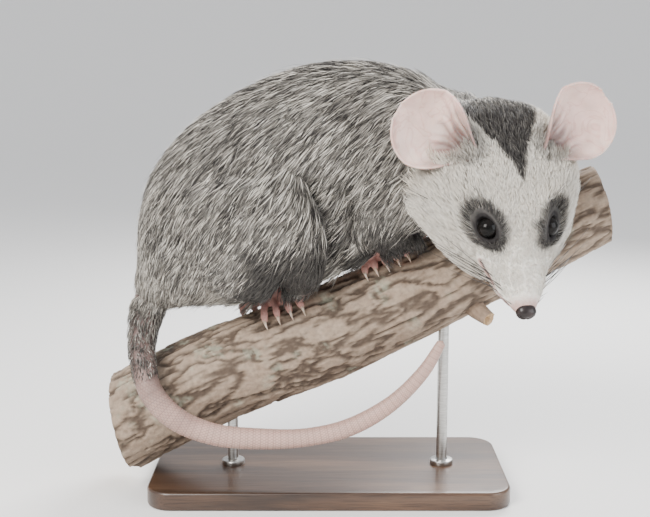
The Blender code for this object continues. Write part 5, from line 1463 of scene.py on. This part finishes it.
# %% Shape of a tuft
def tuft_shapes(roots, normals, ways, lengths, widths, heights, bend, clump, segments, wander, clump_size=6.5):
    """Points of all tufts at once: rings of three along each blade, then a tip.

    A blade's height over the skin is height * (1 - (1 - t)^2), less the sag of the skin, bend * (L t)^2 / 2.
    """
    count = len(roots)
    ways = unit(ways - (ways * normals).sum(1)[:, None] * normals)
    sides = np.cross(normals, ways)
    lean = random.normal(0, wander, count)
    ways = unit(ways + lean[:, None] * sides)
    sides = np.cross(normals, ways)
    t = np.linspace(0, 1, segments + 1)
    reach = lengths[:, None] * t
    rise = heights[:, None] * (1 - (1 - t) ** 2) - 0.5 * bend[:, None] * reach**2
    rise[:, 0] -= 0.6
    curl = random.normal(0, 0.07, count)[:, None] * lengths[:, None] * t**2
    line = roots[:, None] + reach[..., None] * ways[:, None] + rise[..., None] * normals[:, None]
    line = line + curl[..., None] * sides[:, None]
    _, first, group = np.unique(cell_keys(roots, clump_size, 0.9), return_index=True, return_inverse=True)
    leader_tip = line[first[group], -1]
    close = np.linalg.norm(leader_tip - line[:, -1], axis=1) < clump_size * 1.6
    pull = (clump * close * random.uniform(0.5, 1.2, count))[:, None, None] * (t**1.8)[None, :, None]
    line = line + (leader_tip - line[:, -1])[:, None] * pull
    blade = np.interp(t[:-1], (0, 0.35, 0.7, 1.0), (0.75, 1.0, 0.72, 0.2))
    half = 0.5 * widths[:, None] * blade
    rings = np.stack([
        line[:, :-1] + half[..., None] * sides[:, None],
        line[:, :-1] + 0.75 * half[..., None] * normals[:, None],
        line[:, :-1] - half[..., None] * sides[:, None],
    ], 2)
    return np.concatenate([rings.reshape(count, -1, 3), line[:, -1:]], 1)


def tuft_faces(count, segments):
    """Triangles of all tufts: the sides of each blade, its tip and its root."""
    one = []
    for k in range(segments - 1):
        for j in range(3):
            a, b = 3 * k + j, 3 * k + (j + 1) % 3
            one += [(a, b, b + 3), (a, b + 3, a + 3)]
    last = 3 * (segments - 1)
    one += [(last + j, last + (j + 1) % 3, last + 3) for j in range(3)] + [(2, 1, 0)]
    return (np.array(one)[None] + np.arange(count)[:, None, None] * (last + 4)).reshape(-1, 3)


def coat_piece(name, shapes, colours, places, segments):
    """One mesh of many tufts, with their colours, and each tuft's own small patch of the map OFBake."""
    count, per = shapes.shape[:2]
    piece = mesh_from(name, placed(shapes).reshape(-1, 3), tuft_faces(count, segments))
    colour_layer(piece, "pelage", colours.reshape(-1, 3))
    ring = np.minimum(np.arange(per) // 3, segments)
    across = np.where(np.arange(per) < per - 1, np.arange(per) % 3 - 1, 0) * 0.0014
    patch = places[:, None] + np.stack([across, ring / segments * 0.003 - 0.0015], -1)[None]
    flat = patch.reshape(-1, 2).astype(np.float32)
    loops = np.empty(len(piece.data.loops), np.int32)
    piece.data.loops.foreach_get("vertex_index", loops)
    piece.data.uv_layers.new(name="OFBake").data.foreach_set("uv", flat[loops].ravel())
    piece.data.materials.append(coat_finish)
    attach(piece, "root")
    return piece


coat_finish, tree, shader = node_tree("coat_finish", Roughness=0.58, Specular_IOR_Level=0.2, Sheen_Weight=0.05, Sheen_Roughness=0.5)
painted = add(tree, "VertexColor", {"layer_name": "pelage"}).outputs["Color"]
strands = add(tree, "TexNoise", Vector=object_points(tree), Scale=650.0, Detail=2.0).outputs["Fac"]
shade = ramp(tree, strands, [(0.3, (0.78, 0.76, 0.74)), (0.7, (1.0, 1.0, 1.0))])
tree.links.new(add(tree, "MixRGB", {"blend_type": "MULTIPLY"}, Fac=0.6, Color1=painted, Color2=shade).outputs["Color"], shader.inputs["Base Color"])
print("tuft shapes ready")

# %% Grow the coat
MOST_SAG = 5.0


def tuft_colours(roots, per, segments, pale_share):
    """Colours from root to tip: pale underfur, then the dark or white of the guard hair, by the markings."""
    dark, warm, grizzle = markings(roots)
    count = len(roots)
    chance = random.random(count)
    white_hair = (chance < pale_share) & (grizzle > 0.3)
    own = np.clip(dark + random.normal(0, 0.07, count), 0, 1)
    own = np.where(grizzle > 0.3, np.clip(own + (chance - 0.5) * 0.55 * grizzle, 0, 1), own)
    base_dark = np.where(grizzle > 0.3, own * 0.42, own)
    tip_dark = np.where(white_hair, 0.05, np.where(grizzle > 0.3, np.clip(own * 1.28, 0, 1), own))
    pale = mixed(PALE, CREAM, np.clip(warm + random.normal(0, 0.08, count), 0, 1))
    share = np.append(np.repeat(np.arange(segments) / segments, 3), 1.0)
    level = smoothstep(0.12, 0.55, share)[None]
    darkness = base_dark[:, None] + (tip_dark - base_dark)[:, None] * level
    return pale[:, None] + (np.array(DARK) - pale)[:, None] * darkness[..., None]


def grow(name, roots, normals, segments, clump, shares, pale_share, wander=0.12, most=11500):
    """Tufts on roots, parted into pieces by body part, none of them with more than most tufts.

    shares multiply the length, width and height of the hair.
    """
    field = coat_field(roots)
    way = field["way"].copy()
    flank = np.clip(np.abs(roots[:, 1]) / 42, 0, 1)
    on_trunk = np.isin(field["part"], [0, 1])
    way[on_trunk] += np.outer(flank[on_trunk], (0, 0, -0.75))
    back, out, up = head_places(roots)
    for side in ("right", "left"):
        middle, looks, long_way, across = eye_frame(side)
        rel = roots - middle
        flat = rel - (rel @ looks)[:, None] * looks
        near = np.exp(-((np.linalg.norm(flat, axis=1) / 9) ** 2)) * (np.linalg.norm(rel, axis=1) < 16)
        way = way + 1.1 * near[:, None] * unit(flat)
    length = field["length"] * shares[0] * random.uniform(0.72, 1.22, len(roots))
    width = field["width"] * shares[1] * random.uniform(0.7, 1.25, len(roots))
    on_head = field["part"] == PART_NAMES.index("head")
    room = np.where(on_head, field["coat"], field["coat"] * SKIN_DEPTH)
    height = room * shares[2] * random.uniform(0.55, 1.15, len(roots))
    bend = curving(roots, unit(way - (way * normals).sum(1)[:, None] * normals))
    # The cheeks carry a ruff of longer, fuller hair, and the hair round an ear is short.
    ruff = on_head * smoothstep(22, 42, back) * smoothstep(9, 24, np.abs(out))
    from_ear = np.linalg.norm(np.stack([back - EAR_AT[0], np.abs(out) - EAR_AT[1], up - EAR_AT[2]], -1), axis=-1)
    length = length * (1 + 0.8 * ruff) * (1 - 0.45 * smoothstep(20, 12, from_ear))
    height = height * (1 + 0.7 * ruff)
    # On a tight curve a long tuft would stand off, so its sag is held to MOST_SAG.
    length = np.minimum(length, np.sqrt(2 * MOST_SAG / np.maximum(bend, 1e-3)))
    shapes = tuft_shapes(roots, normals, way, length, width, height, bend, clump, segments, wander)
    colours = tuft_colours(roots, shapes.shape[1], segments, pale_share)
    pieces = []
    group = np.where(on_trunk, 0, np.where(on_head, 1, 2 + field["part"]))
    for part in np.unique(group):
        members = np.flatnonzero(group == part)
        members = members[np.argsort(field["at"][members] + 200 * (field["part"][members] == 1))]
        label = "trunk" if part == 0 else "head" if part == 1 else PART_NAMES[part - 2]
        chunks = np.array_split(members, int(np.ceil(len(members) / most)))
        for k, chunk in enumerate(chunks, 1):
            at = field["at"][chunk] + 200 * (field["part"][chunk] == 1)
            spread = max(float(np.ptp(at)), 1e-6)
            round_it = field["angle"][chunk] / (2 * np.pi) * 0.96 + 0.5
            places = np.stack([round_it, 0.02 + 0.96 * (at - at.min()) / spread], -1)
            pieces.append(coat_piece(f"{name}_{label}_{k}", shapes[chunk], colours[chunk], places, segments))
    return pieces


short = np.isin(coat_field(roots)["part"], SHORT_PARTS)
coat = grow("coat", roots[~short], root_normals[~short], 3, 0.45, (1, 1, 0.95), 0.16)
coat += grow("short_coat", roots[short], root_normals[short], 2, 0.35, (1, 1, 0.95), 0.16, most=18000)
print("coat pieces:", len(coat), "triangles:", sum(len(piece.data.polygons) for piece in coat))

# %% [markdown]
# Longer pale guard hairs stand a little out of the coat. They are few, thin and nearly white, and they
# break up its outline.

# %% Guard hairs
body_only = density * ~is_head * ~is_leg
GUARD_HAIRS = 3600
guard_roots, guard_normals = scatter(GUARD_HAIRS, body_only)
guard = grow("guard", guard_roots, guard_normals, 3, 0.2, (1.3, 0.45, 1.2), 0.75, wander=0.16)
print("guard hairs:", len(guard_roots), "in", len(guard), "pieces")

# %% Fur on the root of the tail
TAIL_TUFTS, TAIL_FUR_END = 2200, 56.0
far = TAIL_START + (TAIL_FUR_END - TAIL_START) * random.random(TAIL_TUFTS) ** 1.6
turn = random.random(TAIL_TUFTS) * 2 * np.pi
frames = np.stack([np.interp(far, tail_at, column) for column in TAIL_FRAMES.T], -1)
normals = np.cos(turn)[:, None] * frames[:, 6:9] + np.sin(turn)[:, None] * frames[:, 9:12]
roots = frames[:, :3] + frames[:, 12:] * normals
long = np.interp(far, (TAIL_START, TAIL_FUR_END), (8.0, 3.2)) * random.uniform(0.7, 1.2, TAIL_TUFTS)
tall = np.interp(far, (TAIL_START, TAIL_FUR_END), (1.3, 0.5)) * random.uniform(0.6, 1.2, TAIL_TUFTS)
wide = 0.42 * random.uniform(0.7, 1.2, TAIL_TUFTS)
shapes = tuft_shapes(roots, normals, frames[:, 3:6], long, wide, tall, 0 * far, 0.4, 2, 0.18)
colours = tuft_colours(roots, shapes.shape[1], 2, 0.05)
places = np.stack([0.02 + 0.96 * turn / (2 * np.pi), 0.02 + 0.96 * (far - TAIL_START) / (TAIL_FUR_END - TAIL_START)], -1)
tail_coat = coat_piece("tail_coat", shapes, colours, places, 2)
print("tufts on the tail:", TAIL_TUFTS)

# %% Whiskers
# Distance back from the nose, degrees over the side of the head, and length.
WHISKERS = [
    (11, 15, 20), (11.5, -8, 21), (14, 18, 25), (14.5, 0, 27), (15, -16, 24), (18, 14, 31), (18.5, -4, 33), (19, -19, 29),
    (22, 4, 36), (22.5, -12, 34), (49, 66, 15), (51, 62, 12), (60, -4, 17), (63, -14, 15),
    (5, 12, 5), (6, -14, 5), (8, 4, 6), (8.5, -20, 6), (10, -30, 6), (12, -28, 7),
]
hairs = []
t = np.linspace(0, 1, 6)[:, None]
for side, sign in (("right", -1), ("left", 1)):
    for back, degrees, length in WHISKERS:
        start = head_surface(back, 90 - sign * (90 - degrees), -0.5)
        lean = random.normal(0, 0.10, 3)
        rises = np.sin(np.radians(degrees)) * 0.6
        way = unit(sign * (0.85 + lean[0]) * ACROSS - (0.55 + lean[1]) * FORWARD + (rises + lean[2]) * UP)
        droop = length * t**2 * (0.10 * UP + 0.14 * FORWARD)
        path = start - 1.5 * way + t * (length + 1.5) * way - droop
        hairs.append(tube("hair", *[placed(v) for v in hook(path, np.linspace(0.26, 0.05, 6), 5)]))
whiskers = joined(hairs, "whiskers")
whisker_finish, tree, shader = node_tree("whisker_finish", Roughness=0.35)
tone = add(tree, "TexNoise", Vector=object_points(tree), Scale=90.0, Detail=1.0).outputs["Fac"]
hair_tone = ramp(tree, tone, [(0.56, (0.018, 0.016, 0.015)), (0.70, (0.42, 0.39, 0.35))])
tree.links.new(hair_tone, shader.inputs["Base Color"])
whiskers.data.materials.append(whisker_finish)
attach(whiskers, "root")
print("whiskers:", len(hairs))

# %% [markdown]
# A plain pale floor runs out and curves up all round, as a studio's paper does, so that no horizon shows
# from any side. Three soft lights stand round the model under a pale world: a broad one from the upper
# left as the main light, a weaker one from the right, and one behind that lights the edge of the coat.

# %% Floor and lights
FLOOR_FLAT, FLOOR_CURVE = 2200.0, 2500.0
rise = np.linspace(0, np.pi / 2, 16)
reach = np.concatenate([[1, 250, 700, 1100], FLOOR_FLAT + FLOOR_CURVE * np.sin(rise)])
level = np.concatenate([[0, 0, 0, 0], FLOOR_CURVE * (1 - np.cos(rise))])
turn = np.arange(96) * 2 * np.pi / 96
bowl = np.stack([reach[:, None] * np.cos(turn), reach[:, None] * np.sin(turn), level[:, None] + 0 * turn], -1)
floor = mesh_from("studio_floor", placed(bowl).reshape(-1, 3), grid_faces(len(reach), 96, closed=True))
floor_finish, tree, shader = node_tree("floor_finish", Roughness=0.85)
shader.inputs["Base Color"].default_value = (0.90, 0.89, 0.87, 1)
floor.data.materials.append(floor_finish)


def soft_light(name, place, aim, size, watts, colour):
    """A square area light that looks at a point."""
    light = bpy.data.objects.new(name, bpy.data.lights.new(name, "AREA"))
    light.data.size, light.data.energy, light.data.color = size * MM, watts, colour
    light.location = placed(place)
    light.rotation_euler = Vector(placed(aim) - placed(place)).to_track_quat("-Z", "Y").to_euler()
    bpy.context.scene.collection.objects.link(light)


soft_light("main_light", (-420, -560, 620), (0, 0, 130), 420, 12.0, (1.0, 0.97, 0.93))
soft_light("fill_light", (620, -420, 300), (0, 0, 130), 500, 3.6, (0.93, 0.96, 1.0))
soft_light("edge_light", (250, 520, 560), (0, 0, 150), 380, 8.0, (1.0, 1.0, 1.0))
world = bpy.data.worlds.new("studio")
bpy.context.scene.world = world
world.use_nodes = True
world.node_tree.nodes["Background"].inputs["Color"].default_value = (0.93, 0.95, 1.0, 1)
world.node_tree.nodes["Background"].inputs["Strength"].default_value = 1.0
